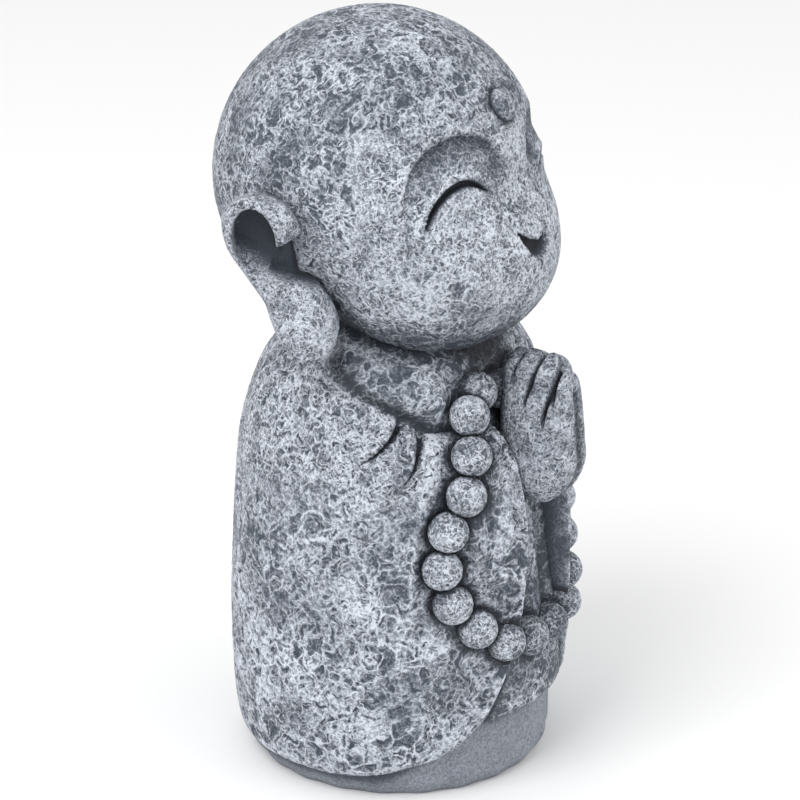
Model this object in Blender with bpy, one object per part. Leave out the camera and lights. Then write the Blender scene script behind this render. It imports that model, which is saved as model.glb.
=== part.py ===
"""A small jizo figurine cast in one piece: a round-headed child monk with long ears, palms pressed
together, a string of prayer beads, and a wide-sleeved robe over a pleated skirt.

Metres, +Z up. The figure faces -Y, so its right side is at -X, and it stands on the plane Z = 0.
Each form is a closed surface worked out on a grid, and Boolean modifiers join the forms into one solid.
"""

import math

import bmesh
import bpy
import numpy as np
from mathutils import Vector

# Driving dimensions, in metres.
MM = 0.001
BODY_HEIGHT = 68.0 * MM
ROBE_HALF_WIDTH = 23.2 * MM
ROBE_FRONT = 24.6 * MM
ROBE_BACK = 23.5 * MM
SLEEVE_HALF_WIDTH = 24.4 * MM
SLEEVE_FRONT = 26.6 * MM
SLEEVE_BACK = 23.7 * MM
SLEEVE_DEPTH = 5.5 * MM
FRONT_FLATTENING = 2.3 * MM
SLEEVE_ROUNDING = 2.2 * MM
SKIRT_RADIUS = 22.1 * MM
SKIRT_HEM = 3.4 * MM
FRONT_HEM = 11.4 * MM
PLEATS = 22
PLEAT_DEPTH = 0.28 * MM
HEAD_RADIUS = 22.9 * MM
HEAD_SINK = 5.0 * MM
HEAD_Y = 3.2 * MM
EAR_HEIGHT = 22.6 * MM
EAR_THICKNESS = 2.6 * MM
BEAD_DIAMETER = 5.6 * MM
BEAD_SPACING = 5.45 * MM
HANDS_HEIGHT = 22.0 * MM
HANDS_HALF_WIDTH = 5.1 * MM
HANDS_HALF_DEPTH = 5.3 * MM
HANDS_INSET = 2.5 * MM
URNA_RADIUS = 1.75 * MM
EYE_SLIT_WIDTH = 1.0 * MM
EYE_SLIT_DEPTH = 1.1 * MM
MOUTH_DEPTH = 2.4 * MM

SHARP_ANGLE = math.radians(50)
STONE_COLOUR = (0.30, 0.33, 0.38, 1.0)
STONE_ROUGHNESS = 0.85

# Carved folds and features are measured in this unit, a share of the body's height, so they grow with it.
UNIT = BODY_HEIGHT / 68

# The head is sunk into the top of the body, and the hands rise from the cuffs in front of the chest.
HEAD_CENTRE = np.array([0.0, HEAD_Y, BODY_HEIGHT - HEAD_SINK + HEAD_RADIUS])
HANDS_Y = HANDS_INSET - SLEEVE_FRONT
HANDS_FOOT = 0.6147 * BODY_HEIGHT


def through(at, stations, values):
    """A smooth curve through (station, value) pairs, in cubic pieces whose slopes come from the neighbours."""
    stations = np.asarray(stations, float)
    values = np.asarray(values, float)
    at = np.asarray(at, float)
    slopes = np.gradient(values, stations, axis=0)
    left = np.clip(np.searchsorted(stations, at, side="right") - 1, 0, len(stations) - 2)
    span = stations[left + 1] - stations[left]
    t = np.clip((at - stations[left]) / span, 0.0, 1.0)
    if values.ndim > 1:
        t, span = t[..., None], span[..., None]
    rise = values[left] * (2 * t**3 - 3 * t**2 + 1) + values[left + 1] * (3 * t**2 - 2 * t**3)
    return rise + span * (slopes[left] * (t**3 - 2 * t**2 + t) + slopes[left + 1] * (t**3 - t**2))


def bump(distance, width):
    """A bell curve of height 1 that falls to a third at one width from its middle."""
    return np.exp(-((distance / width) ** 2))


def step(value, start, end):
    """0 before start, 1 after end, and a smooth rise between."""
    t = np.clip((value - start) / (end - start), 0.0, 1.0)
    return t * t * (3 - 2 * t)


def soft_max(a, b, blend):
    """The larger of two distances, rounded where they are within blend of each other."""
    overlap = np.maximum(blend - np.abs(a - b), 0.0) / blend
    return np.maximum(a, b) + overlap**2 * blend / 4


# Body plan. An angle of 0 faces forward and a quarter turn is one side. The stations are shares of
# BODY_HEIGHT, and the values beside them are shares of the full width or depth.
PLAN_STATIONS = (0.0, 0.09, 0.22, 0.45, 0.60, 0.73, 0.82, 0.89, 0.94, 1.0)
SLEEVE_WIDTH_SHARES = (0.93, 0.975, 1.0, 0.995, 0.965, 0.925, 0.86, 0.77, 0.64, 0.40)
SLEEVE_FRONT_SHARES = (0.91, 0.955, 0.985, 1.0, 0.985, 0.895, 0.765, 0.66, 0.56, 0.40)
SLEEVE_BACK_SHARES = (0.92, 0.985, 1.01, 1.0, 0.975, 0.935, 0.86, 0.765, 0.65, 0.44)
ROBE_WIDTH_SHARES = (0.96, 0.98, 1.0, 0.98, 0.94, 0.87, 0.80, 0.75, 0.68, 0.50)
ROBE_FRONT_SHARES = (0.95, 0.985, 0.985, 0.93, 0.87, 0.745, 0.66, 0.61, 0.54, 0.38)
ROBE_BACK_SHARES = (0.95, 0.975, 0.99, 0.98, 0.96, 0.915, 0.845, 0.76, 0.67, 0.50)


def plan_point(angle, height, half_width, front, back):
    """A point of an egg-shaped plan: one half ellipse in front of the figure's axis and one behind it."""
    depth = np.where(np.cos(angle) > 0, front, back)
    x = -half_width * np.sin(angle)
    y = -depth * np.cos(angle)
    return np.stack(np.broadcast_arrays(x, y, height), axis=-1)


def outward(angle, half_width, front, back):
    """The level unit normal of that plan."""
    depth = np.where(np.cos(angle) > 0, front, back)
    x, y = -np.sin(angle) / half_width, -np.cos(angle) / depth
    length = np.hypot(x, y)
    return np.stack([x / length, y / length, np.zeros_like(x)], axis=-1)


def sleeve_sizes(height):
    share = height / BODY_HEIGHT
    return (
        SLEEVE_HALF_WIDTH * through(share, PLAN_STATIONS, SLEEVE_WIDTH_SHARES),
        SLEEVE_FRONT * through(share, PLAN_STATIONS, SLEEVE_FRONT_SHARES),
        SLEEVE_BACK * through(share, PLAN_STATIONS, SLEEVE_BACK_SHARES),
    )


def robe_sizes(height):
    share = height / BODY_HEIGHT
    return (
        ROBE_HALF_WIDTH * through(share, PLAN_STATIONS, ROBE_WIDTH_SHARES),
        ROBE_FRONT * through(share, PLAN_STATIONS, ROBE_FRONT_SHARES),
        ROBE_BACK * through(share, PLAN_STATIONS, ROBE_BACK_SHARES),
    )


def sleeve_point(angle, height, sink=0.0):
    """A point on the outer cloth, or sink inside it. The cloth is flatter where it turns to the front."""
    sizes = sleeve_sizes(height)
    share = height / BODY_HEIGHT
    diagonal = bump(np.abs(angle) - math.radians(42), math.radians(23))
    dip = FRONT_FLATTENING * diagonal * step(share, 0.0, 0.3) * step(-share, -1.0, -0.8)
    return plan_point(angle, height, *sizes) - outward(angle, *sizes) * (dip + sink)[..., None]


def robe_point(angle, height, sink=0.0):
    """A point on the inner robe, or sink inside it."""
    sizes = robe_sizes(height)
    return plan_point(angle, height, *sizes) - outward(angle, *sizes) * np.asarray(sink)[..., None]


# Meshes

def closed_grid(name, points):
    """A closed mesh from points[row, column]: the columns go round, and a fan closes each end row."""
    rows, columns = points.shape[:2]
    mesh = bmesh.new()
    rings = [[mesh.verts.new(p) for p in ring] for ring in points]
    for lower, upper in zip(rings, rings[1:]):
        for i in range(columns):
            j = (i + 1) % columns
            mesh.faces.new((lower[i], lower[j], upper[j], upper[i]))
    for ring in (rings[0], rings[-1]):
        hub = mesh.verts.new(sum((v.co for v in ring), Vector()) / columns)
        for i in range(columns):
            mesh.faces.new((ring[i], ring[(i + 1) % columns], hub))
    bmesh.ops.recalc_face_normals(mesh, faces=mesh.faces)
    data = bpy.data.meshes.new(name)
    mesh.to_mesh(data)
    mesh.free()
    return data


def form(name, data, hidden=True):
    """An object for that mesh. A hidden form is one that a Boolean joins to another or cuts from it."""
    data.shade_smooth()
    data.set_sharp_from_angle(angle=SHARP_ANGLE)
    piece = bpy.data.objects.new(name, data)
    bpy.context.scene.collection.objects.link(piece)
    piece.hide_render = hidden
    if hidden:
        piece.display_type = "WIRE"
    return piece


def boolean(target, other, operation):
    modifier = target.modifiers.new(other.name, "BOOLEAN")
    modifier.operation = operation
    modifier.object = other
    modifier.solver = "EXACT"


# Robe and skirt
HEM_ROUNDING = 0.6 * UNIT
HEM_OVERHANG = 0.35 * UNIT
SKIRT_FRONT_EXTRA = 0.2 * UNIT
CHEST_FOLD = 3.2 * UNIT
CHEST_FOLD_WIDTH = 3.4 * UNIT


def hem_height(angle):
    """The inner robe's hem: low at the sides and back, lifted in front."""
    return SKIRT_HEM + (FRONT_HEM - SKIRT_HEM) * step(np.cos(angle), 0.35, 0.95)


def robe_relief(angle, height):
    """How far the robe's carving stands out: two chest folds, crossed collar bands and a front fold."""
    side = np.abs(np.arctan2(np.sin(angle), np.cos(angle)))
    share = height / BODY_HEIGHT
    chest = CHEST_FOLD * near_line(side, height, (86, 0.925), (42, 0.865), CHEST_FOLD_WIDTH)
    collar_line = np.abs(side - math.radians(18) * (1 + 6 * (share - 0.86)))
    collar = 0.7 * UNIT * bump(collar_line, 0.16) * step(share, 0.70, 0.80) * step(-share, -0.99, -0.95)
    front_fold = -0.9 * UNIT * bump(side - math.radians(7), 0.05) * step(-share, -0.72, -0.60) * step(share, 0.2, 0.34)
    return chest + collar + front_fold


def robe_form():
    """The robe's body and, under its hem, the pleated skirt that the figurine stands on."""
    columns = 2 * PLEATS
    angle = 2 * math.pi * np.arange(columns) / columns
    pleat = PLEAT_DEPTH * np.cos(PLEATS * angle)
    hem = hem_height(angle)
    skirt = (SKIRT_RADIUS, SKIRT_RADIUS + SKIRT_FRONT_EXTRA, SKIRT_RADIUS)
    rings = []
    for share, inset in ((0.0, HEM_ROUNDING), (0.0, 0.0), (0.5, 0.0), (1.0, 0.0)):
        height = HEM_ROUNDING * (len(rings) > 0) + share * (hem - HEM_ROUNDING - HEM_OVERHANG)
        ring = plan_point(angle, height, *skirt)
        rings.append(ring + outward(angle, *skirt) * (pleat - inset)[:, None])
    rings[0][:, 2] = 0.0
    rings.append(robe_point(angle, hem, 0.5 * HEM_ROUNDING))
    for share in (0.0, 0.05, 0.12, 0.22, 0.34, 0.46, 0.57, 0.67, 0.75, 0.82, 0.88, 0.93, 0.97, 1.0):
        height = hem + HEM_ROUNDING + share * (BODY_HEIGHT - hem - HEM_ROUNDING)
        rings.append(robe_point(angle, height, -robe_relief(angle, height)))
    return form("robe_body", closed_grid("robe_body", np.array(rings)), hidden=False)


# Sleeves. Each hangs from the shoulder over the forearm. Its lower line runs from the back crease along
# the hem, round the front corner and up the cuff's edge, and its upper line over the shoulder, down in
# three folds to the crook of the elbow and along the forearm. The rows are
# (place along the sleeve, lower turn in degrees, lower height, upper turn, upper height), and the
# heights are shares of BODY_HEIGHT.
SLEEVE_LINES = np.array((
    (0.00, 168.0, 0.050, 168.0, 0.955),
    (0.12, 142.0, 0.046, 140.0, 0.980),
    (0.24, 116.0, 0.046, 115.0, 0.985),
    (0.34, 95.0, 0.050, 98.0, 0.975),
    (0.43, 79.0, 0.050, 85.0, 0.935),
    (0.51, 66.0, 0.062, 75.0, 0.895),
    (0.58, 55.0, 0.083, 66.0, 0.866),
    (0.64, 46.0, 0.100, 58.0, 0.838),
    (0.70, 38.0, 0.126, 51.0, 0.812),
    (0.76, 30.5, 0.162, 45.0, 0.795),
    (0.83, 23.0, 0.240, 38.5, 0.788),
    (0.89, 17.8, 0.340, 31.5, 0.788),
    (0.95, 14.8, 0.500, 23.5, 0.795),
    (1.00, 14.2, 0.700, 16.6, 0.800),
))
BEAD_TROUGH_DEPTH = 0.9 * UNIT


def near_line(angle, height, start, end, width):
    """A bell curve across the line over the cloth between two (turn in degrees, share of height) places."""
    ends = np.array([start, end]) * [math.pi / 180 * SLEEVE_HALF_WIDTH, BODY_HEIGHT]
    across, up = angle * SLEEVE_HALF_WIDTH - ends[0, 0], height - ends[0, 1]
    along = ends[1] - ends[0]
    t = np.clip((across * along[0] + up * along[1]) / (along**2).sum(), 0.0, 1.0)
    return bump(np.hypot(across - t * along[0], up - t * along[1]), width)


def sleeve_relief(angle, height):
    """How far the sleeve's carving stands out: folds that fan from the elbow's crook, the swell of the
    forearm, and the trough that the beads lie in."""
    share = height / BODY_HEIGHT
    folds = 0.9 * UNIT * near_line(angle, height, (62, 0.81), (82, 0.76), 3.0 * UNIT)
    folds += 0.8 * UNIT * near_line(angle, height, (52, 0.76), (64, 0.70), 2.4 * UNIT)
    forearm = 0.8 * UNIT * near_line(angle, height, (44, 0.75), (50, 0.60), 2.4 * UNIT)
    away = bead_line_distance(angle, height)
    trough = -BEAD_TROUGH_DEPTH * bump(away, 3.0 * UNIT)
    return folds + forearm + trough


def sleeve_form(side):
    """One sleeve as a closed, flattened tube that runs from the back crease to the cuff. Each ring goes
    up the outer cloth, over the upper edge, down inside the robe and round the lower edge."""
    middles = (SLEEVE_LINES[4:, 0] + SLEEVE_LINES[3:-1, 0]) / 2
    stations = np.sort(np.concatenate([SLEEVE_LINES[:, 0], middles]))
    lines = through(stations, SLEEVE_LINES[:, 0], SLEEVE_LINES[:, 1:])
    lower, upper = lines[:, :2], lines[:, 2:]
    width = (upper[:, 1] - lower[:, 1]) * BODY_HEIGHT
    rows = []
    for share in (0.0, 0.02, 0.08, 0.19, 0.32, 0.45, 0.57, 0.68, 0.78, 0.86, 0.92, 0.96, 0.985, 1.0):
        place = lower + (upper - lower) * share
        angle, height = np.radians(place[:, 0]), place[:, 1] * BODY_HEIGHT
        to_top, to_foot = (1 - share) * width, share * width
        top_turn = SLEEVE_ROUNDING * (1 - np.sqrt(step(to_top, -0.6 * UNIT, SLEEVE_ROUNDING)))
        foot_turn = 0.45 * UNIT * bump(to_foot, 0.5 * UNIT)
        fade = step(to_foot, 0.0, 2.0 * UNIT) * step(to_top, -0.6 * UNIT, 1.0 * UNIT)
        rows.append(sleeve_point(angle, height, top_turn + foot_turn - fade * sleeve_relief(angle, height)))
    for share in (0.97, 0.50, 0.01):
        place = lower + (upper - lower) * share
        angle, height = np.radians(place[:, 0]), place[:, 1] * BODY_HEIGHT
        rows.append(sleeve_point(angle, height, np.full_like(angle, SLEEVE_DEPTH + SLEEVE_ROUNDING * share)))
    points = np.array(rows).transpose(1, 0, 2)
    points[0] = sleeve_inside(points[0])
    points[..., 0] *= side
    name = "sleeve_right" if side > 0 else "sleeve_left"
    return form(name, closed_grid(name, points))


# Creases of the elbow's crook, as (turn in degrees, share of BODY_HEIGHT), from the edge down the cloth.
CREASES = (
    ((55.0, 0.834), (58.5, 0.803), (65.0, 0.770), (73.0, 0.742)),
    ((48.5, 0.805), (50.5, 0.768), (54.0, 0.728), (59.0, 0.698)),
)
CREASE_WIDTH = 2.0 * UNIT
CREASE_DEPTH = 1.7 * UNIT


def slit(name, outer, inner, width, swell, side):
    """A closed cutter along a path from outer points above a surface to inner points below it. The swell
    is the cutter's share of its full width and depth at each point."""
    depth = outer - inner
    sideways = np.cross(np.gradient(outer, axis=0), depth)
    sideways /= np.linalg.norm(sideways, axis=1)[:, None]
    half = 0.5 * width * swell[:, None]
    bottom = inner + depth * (0.75 * (1 - swell))[:, None]
    rings = np.stack([outer - 1.5 * sideways * half, outer + 1.5 * sideways * half,
                      bottom + 0.4 * sideways * half, bottom - 0.4 * sideways * half], axis=1)
    rings[..., 0] *= side
    return form(name, closed_grid(name, rings))


def crease_cut(index, side):
    """A tapered groove down the sleeve from the crook of the elbow."""
    path = np.array(CREASES[index])
    places = through(np.linspace(0, len(path) - 1, 8), np.arange(len(path)), path)
    angle, height = np.radians(places[:, 0]), places[:, 1] * BODY_HEIGHT
    outer = sleeve_point(angle, height, np.full_like(angle, -1.6 * UNIT))
    inner = sleeve_point(angle, height, np.full_like(angle, CREASE_DEPTH))
    name = f"crease_{index + 1}_{'right' if side > 0 else 'left'}"
    return slit(name, outer, inner, CREASE_WIDTH, np.linspace(1.0, 0.12, len(places)), side)


def sleeve_inside(ring):
    """Draws the sleeve's first ring into the robe, so that the back crease is a soft valley."""
    inward = -ring
    inward[:, 2] = 0.0
    return ring + inward / np.linalg.norm(inward, axis=1)[:, None] * 1.4 * UNIT


# Beads. The route down one side, as (turn in degrees, share of BODY_HEIGHT, lift off the outer cloth).
BEAD_ROUTE = (
    (0, 0.842, -2.2 * UNIT), (10, 0.845, -2.2 * UNIT), (18, 0.857, -1.2 * UNIT), (23.5, 0.862, 0.3 * UNIT),
    (27.5, 0.820, 0.9 * UNIT), (31.6, 0.750, 1.0 * UNIT), (36.4, 0.677, 1.0 * UNIT), (43.7, 0.611, 0.9 * UNIT),
    (46.5, 0.537, 0.7 * UNIT), (43.5, 0.459, 0.6 * UNIT), (35.0, 0.395, 0.3 * UNIT), (24.0, 0.348, -0.6 * UNIT),
    (13.5, 0.330, -1.8 * UNIT), (5.5, 0.325, -2.4 * UNIT), (0, 0.325, -2.5 * UNIT),
)


def bead_line():
    """Points close together along the string of beads, from behind the hands down the right side and
    up the left, as (turn, height, lift)."""
    route = np.array(BEAD_ROUTE) * [math.pi / 180, BODY_HEIGHT, 1.0]
    stations = np.arange(len(route))
    half = through(np.linspace(0, len(route) - 1, 240), stations, route)
    other = half[::-1][1:-1] * [-1.0, 1.0, 1.0]
    return np.concatenate([half, other])


def bead_line_distance(angle, height):
    """The distance over the cloth from a point to the beads' line on the same side."""
    line = bead_line()
    line = line[: len(line) // 2]
    across = (np.asarray(angle)[..., None] - line[:, 0]) * SLEEVE_HALF_WIDTH
    up = np.asarray(height)[..., None] - line[:, 1]
    return np.hypot(across, up).min(axis=-1)


def bead_centres():
    """Evenly spaced places along the string."""
    line = bead_line()
    points = sleeve_point(line[:, 0], line[:, 1], -line[:, 2])
    loop = np.vstack([points, points[:1]])
    run = np.concatenate([[0.0], np.cumsum(np.linalg.norm(np.diff(loop, axis=0), axis=1))])
    count = int(round(run[-1] / BEAD_SPACING))
    wanted = run[-1] * np.arange(count) / count
    return np.stack([np.interp(wanted, run, loop[:, k]) for k in range(3)], axis=-1)


def bead_form(index, centre):
    name = f"bead_{index + 1:02d}"
    mesh = bmesh.new()
    bmesh.ops.create_icosphere(mesh, subdivisions=2, radius=0.51 * BEAD_DIAMETER)
    bmesh.ops.translate(mesh, verts=mesh.verts, vec=Vector(centre))
    data = bpy.data.meshes.new(name)
    mesh.to_mesh(data)
    mesh.free()
    return form(name, data)


# Head. Clay lumps, each an ellipsoid given by its centre and radii as shares of HEAD_RADIUS from the
# head's centre. A direction is read as a turn from straight ahead and a rise above level.
HEAD_LUMPS = (
    ((0.0, 0.0, 0.0), (1.01, 1.0, 1.0), 0.10),
    ((0.0, -0.46, -0.43), (0.85, 0.67, 0.60), 0.22),
    ((0.0, -0.74, -0.36), (0.30, 0.34, 0.28), 0.16),
    ((-0.46, -0.50, -0.31), (0.37, 0.37, 0.37), 0.14),
    ((0.46, -0.50, -0.31), (0.37, 0.37, 0.37), 0.14),
)
UNDER_HEAD = 2.4 * UNIT


def head_direction(turn, rise):
    return np.stack([-np.sin(turn) * np.cos(rise), -np.cos(turn) * np.cos(rise), np.sin(rise)], axis=-1)


def lump_reach(direction, centre, radii):
    """How far a ray from the head's centre runs before it leaves an ellipsoid, or 0 where it misses."""
    centre, radii = np.array(centre) * HEAD_RADIUS, np.array(radii) * HEAD_RADIUS
    along, offset = direction / radii, centre / radii
    a = (along**2).sum(-1)
    b = (along * offset).sum(-1)
    c = (offset**2).sum() - 1
    inside = b * b - a * c
    return np.where(inside > 0, (b + np.sqrt(np.maximum(inside, 0.0))) / a, 0.0)


def head_reach(turn, rise):
    """The head's surface as a distance from its centre: the lumps joined softly, drawn in below the
    ears, less a crease from each eye's inner end to the corner of the mouth."""
    direction = head_direction(turn, rise)
    reach = 0.0 * turn
    for centre, radii, blend in HEAD_LUMPS:
        reach = soft_max(reach, lump_reach(direction, centre, radii), blend * HEAD_RADIUS)
        if blend == HEAD_LUMPS[0][2]:
            reach = reach - UNDER_HEAD * step(-rise, math.radians(10), math.radians(62))
    side = np.abs(np.arctan2(np.sin(turn), np.cos(turn)))
    crease = bump(side - math.radians(10.5), math.radians(4.5)) * bump(rise - math.radians(-1), math.radians(9))
    bridge = bump(side, math.radians(9)) * bump(rise - math.radians(6), math.radians(8))
    return reach - 0.5 * UNIT * crease - 0.5 * UNIT * bridge


def head_point(turn, rise, lift=0.0):
    reach = head_reach(np.asarray(turn, float), np.asarray(rise, float)) + lift
    return HEAD_CENTRE + head_direction(turn, rise) * np.asarray(reach)[..., None]


def head_form():
    """The head on a grid of turns and rises that is finer over the face than over the back."""
    face = np.radians(np.linspace(-64, 64, 25))
    side = np.radians([71, 79, 88, 99, 113, 130, 154])
    turns = np.concatenate([face, side, [math.pi], 2 * math.pi - side[::-1]])
    rises = np.radians(np.concatenate([
        np.linspace(-84, -50, 3), np.linspace(-40, 34, 13), np.linspace(44, 84, 5),
    ]))
    points = np.array([head_point(turns, np.full_like(turns, rise)) for rise in rises])
    return form("head", closed_grid("head", points))


# Places on the face as (turn, rise) in degrees. The hollow under a brow is sharp at the brow's edge and
# runs out above the closed eye.
EYE_ARC = ((41.8, -5.0), (39.6, -1.0), (37.4, 2.2), (34.6, 5.0), (30.6, 7.4), (26.2, 8.2), (22.0, 7.2), (18.0, 4.5))
BROW_EDGE = ((47.0, -9.0), (48.9, -0.7), (48.6, 7.5), (45.5, 15.5), (39.5, 20.9), (30.5, 24.3),
             (20.8, 24.2), (13.3, 21.0), (8.8, 15.3), (7.2, 8.4))
HOLLOW_EDGE = ((44.5, -8.0), (43.0, -1.0), (41.0, 3.5), (37.5, 7.2), (33.0, 9.8), (28.0, 10.8),
               (22.5, 10.2), (17.5, 8.2), (13.5, 5.4), (11.0, 3.0))
HOLLOW_FADE = (0.15, 0.30, 0.55, 0.85, 1.0, 1.0, 1.0, 0.9, 0.7, 0.35)
BROW_DEPTH = 1.0 * UNIT


def brow_hollow(side):
    """A cutter for the crescent under one brow, deepest at the brow and gone at the hollow's lower edge."""
    brow, edge = np.radians(np.array(BROW_EDGE)), np.radians(np.array(HOLLOW_EDGE))
    ends = np.array(HOLLOW_FADE)
    rows = []
    for share in (0.0, 0.4, 0.75, 1.0):
        place = brow + (edge - brow) * share
        rows.append(head_point(place[:, 0], place[:, 1], 0.8 * UNIT))
    for share in (1.0, 0.75, 0.4, 0.0):
        place = brow + (edge - brow) * share
        depth = BROW_DEPTH * ends * (1 - share) ** 0.8 - 0.12 * UNIT
        rows.append(head_point(place[:, 0], place[:, 1], -depth))
    rings = np.array(rows).transpose(1, 0, 2)
    rings[..., 0] *= side
    name = "brow_right" if side > 0 else "brow_left"
    return form(name, closed_grid(name, rings))


def eye_slit(side):
    """A groove cutter along the closed eye's arc, tapered at both ends."""
    arc = np.radians(np.array(EYE_ARC))
    places = through(np.linspace(0, len(arc) - 1, 10), np.arange(len(arc)), arc)
    outer = head_point(places[:, 0], places[:, 1], 0.9 * UNIT)
    inner = head_point(places[:, 0], places[:, 1], -EYE_SLIT_DEPTH)
    swell = np.sqrt(np.sin(np.linspace(0.10, math.pi - 0.10, len(places))))
    return slit("eye_right" if side > 0 else "eye_left", outer, inner, EYE_SLIT_WIDTH, swell, side)


MOUTH_OUTLINE = ((-8.6, -10.2), (-4.6, -12.1), (0.0, -13.0), (4.6, -12.1), (8.6, -10.2), (7.6, -12.6),
                 (5.4, -15.0), (2.8, -17.4), (0.0, -18.7), (-2.8, -17.4), (-5.4, -15.0), (-7.6, -12.6))


def mouth_cut():
    """A wedge cutter for the small open smile: corners up, upper lip dipping, and a pointed lower lip."""
    outline = np.radians(np.array(MOUTH_OUTLINE))
    middle = outline.mean(axis=0)
    rings = [head_point(outline[:, 0], outline[:, 1], 1.2 * UNIT)]
    inner = middle + (outline - middle) * 0.72
    rings.append(head_point(inner[:, 0], inner[:, 1], -MOUTH_DEPTH))
    return form("mouth", closed_grid("mouth", np.array(rings)))


def urna_form():
    """The small round mark that stands out of the forehead."""
    mesh = bmesh.new()
    bmesh.ops.create_uvsphere(mesh, u_segments=10, v_segments=7, radius=URNA_RADIUS)
    centre = head_point(0.0, math.radians(30.8), -0.35 * URNA_RADIUS)
    bmesh.ops.translate(mesh, verts=mesh.verts, vec=Vector(centre))
    data = bpy.data.meshes.new("urna")
    mesh.to_mesh(data)
    mesh.free()
    return form("urna", data)


# Ears. The ear is drawn on a plane that faces out and forward. Heights run from the lobe's foot to the
# top as shares of EAR_HEIGHT, and the two edges are distances behind the ear's middle line.
EAR_STATIONS = (0.0, 0.06, 0.18, 0.32, 0.44, 0.56, 0.68, 0.80, 0.91, 1.0)
EAR_BACK_EDGE = (-0.080, 0.020, 0.075, 0.115, 0.180, 0.265, 0.335, 0.360, 0.310, 0.170)
EAR_FRONT_EDGE = (-0.170, -0.270, -0.325, -0.290, -0.200, -0.130, -0.110, -0.100, -0.040, 0.110)
EAR_FACING = np.array([-0.85, -0.53, 0.0])
EAR_BEHIND = np.array([-0.53, 0.85, 0.0])
EAR_FOOT = HEAD_CENTRE + HEAD_RADIUS * np.array([-1.048, -0.0087, -0.90])
RIM_WIDTH = 2.5 * UNIT
BOWL_DEPTH = 3.4 * UNIT


def ear_edges(share):
    back = through(share, EAR_STATIONS, EAR_BACK_EDGE) * EAR_HEIGHT
    front = through(share, EAR_STATIONS, EAR_FRONT_EDGE) * EAR_HEIGHT
    return front, back


def ear_point(share, across, lift):
    """A point of the ear: share up its height, across from the front edge (-1) to the back edge (1)."""
    front, back = ear_edges(share)
    behind = front + (back - front) * (across + 1) / 2
    up = share * EAR_HEIGHT
    flat = EAR_FOOT + behind[..., None] * EAR_BEHIND + up[..., None] * np.array([0.0, 0.0, 1.0])
    return flat + lift[..., None] * EAR_FACING


def ear_lift(share, across):
    """The outer face: a plump lobe below, and above it a rolled rim round a deep bowl that opens to the
    front under the rim's root."""
    front, back = ear_edges(share)
    half = (back - front) / 2
    inset = np.minimum((1 - np.abs(across)) * half, (1 - share) * EAR_HEIGHT)
    roll = np.sqrt(np.clip(1 - (1 - np.minimum(inset, RIM_WIDTH) / RIM_WIDTH) ** 2, 0.0, 1.0))
    lobe = 1.5 * UNIT * bump(share - 0.19, 0.15) * (1 - across**2)
    inner = step(inset, 0.75 * RIM_WIDTH, 1.15 * RIM_WIDTH) * step(share, 0.44, 0.55)
    opening = step(-across, -0.2, 0.5) * bump(share - 0.51, 0.07)
    return EAR_THICKNESS * (0.25 + 0.75 * roll) + lobe - BOWL_DEPTH * np.maximum(inner, opening)


def ear_form(side):
    """One ear as rings round its outline: the outer face, the back edge, the inner face and the front edge."""
    shares = np.array([0.015, 0.08, 0.18, 0.29, 0.38, 0.44, 0.49, 0.54, 0.60, 0.67, 0.75, 0.83, 0.90, 0.96, 0.992])
    across_out = np.array([-0.97, -0.78, -0.55, -0.33, -0.05, 0.28, 0.50, 0.68, 0.84, 0.97])
    across_in = np.array([0.90, 0.2, -0.90])
    rings = []
    for share in shares:
        level = np.full_like(across_out, share)
        outer = ear_point(level, across_out, ear_lift(level, across_out))
        level = np.full_like(across_in, share)
        root = np.where(across_in < 0.5, -4.2, -0.9) * UNIT * (0.5 + 0.5 * math.sin(math.pi * share))
        inner = ear_point(level, across_in, root)
        rings.append(np.vstack([outer, inner]))
    points = np.array(rings)
    points[..., 0] *= side
    name = "ear_right" if side > 0 else "ear_left"
    return form(name, closed_grid(name, points))


# Hands. One mitten of two palms pressed together. The side view is a tall leaf, and grooves part the
# fingers on each outer face.
HAND_STATIONS = (0.0, 0.10, 0.25, 0.45, 0.62, 0.78, 0.90, 1.0)
HAND_DEPTH_SHARES = (0.34, 0.68, 0.94, 1.0, 0.98, 0.93, 0.83, 0.52)
HAND_WIDTH_SHARES = (0.45, 0.80, 1.0, 0.98, 0.92, 0.86, 0.76, 0.42)
HAND_LEAN = (0.0, -0.4, -0.5, 0.0, 0.4, 0.8, 1.0, 1.1)
FINGER_GROOVES = (-0.58, -0.06, 0.36)
LITTLE_FINGER_DROP = 3.2 * UNIT


def hands_point(around, share):
    """A point of the hands: around runs from the front seam (0) past the right side (1) to the back (2)
    and on round the left, and share runs from the heels of the palms to the fingertips."""
    quarter = around * math.pi / 2
    depth = HANDS_HALF_DEPTH * through(share, HAND_STATIONS, HAND_DEPTH_SHARES)
    width = HANDS_HALF_WIDTH * through(share, HAND_STATIONS, HAND_WIDTH_SHARES)
    lean = UNIT * through(share, HAND_STATIONS, HAND_LEAN)
    fore = -np.cos(quarter)
    groove = 0.0 * around
    for place, strength in zip(FINGER_GROOVES, (1.0, 0.7, 0.6)):
        groove = groove + strength * bump(fore - place, 0.11) * step(share, 0.42, 0.60)
    seam = bump(np.sin(quarter), 0.16)
    x = -np.sign(np.sin(quarter)) * np.abs(np.sin(quarter)) ** 0.8 * width
    x = x * (1 - 0.22 * groove)
    y = HANDS_Y + lean + fore * depth * (1 - 0.05 * seam)
    pinky = LITTLE_FINGER_DROP * step(-fore, 0.45, 0.75) * step(share, 0.5, 1.0)
    z = HANDS_FOOT + HANDS_HEIGHT * share - pinky
    return np.stack(np.broadcast_arrays(x, y, z), axis=-1)


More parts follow.
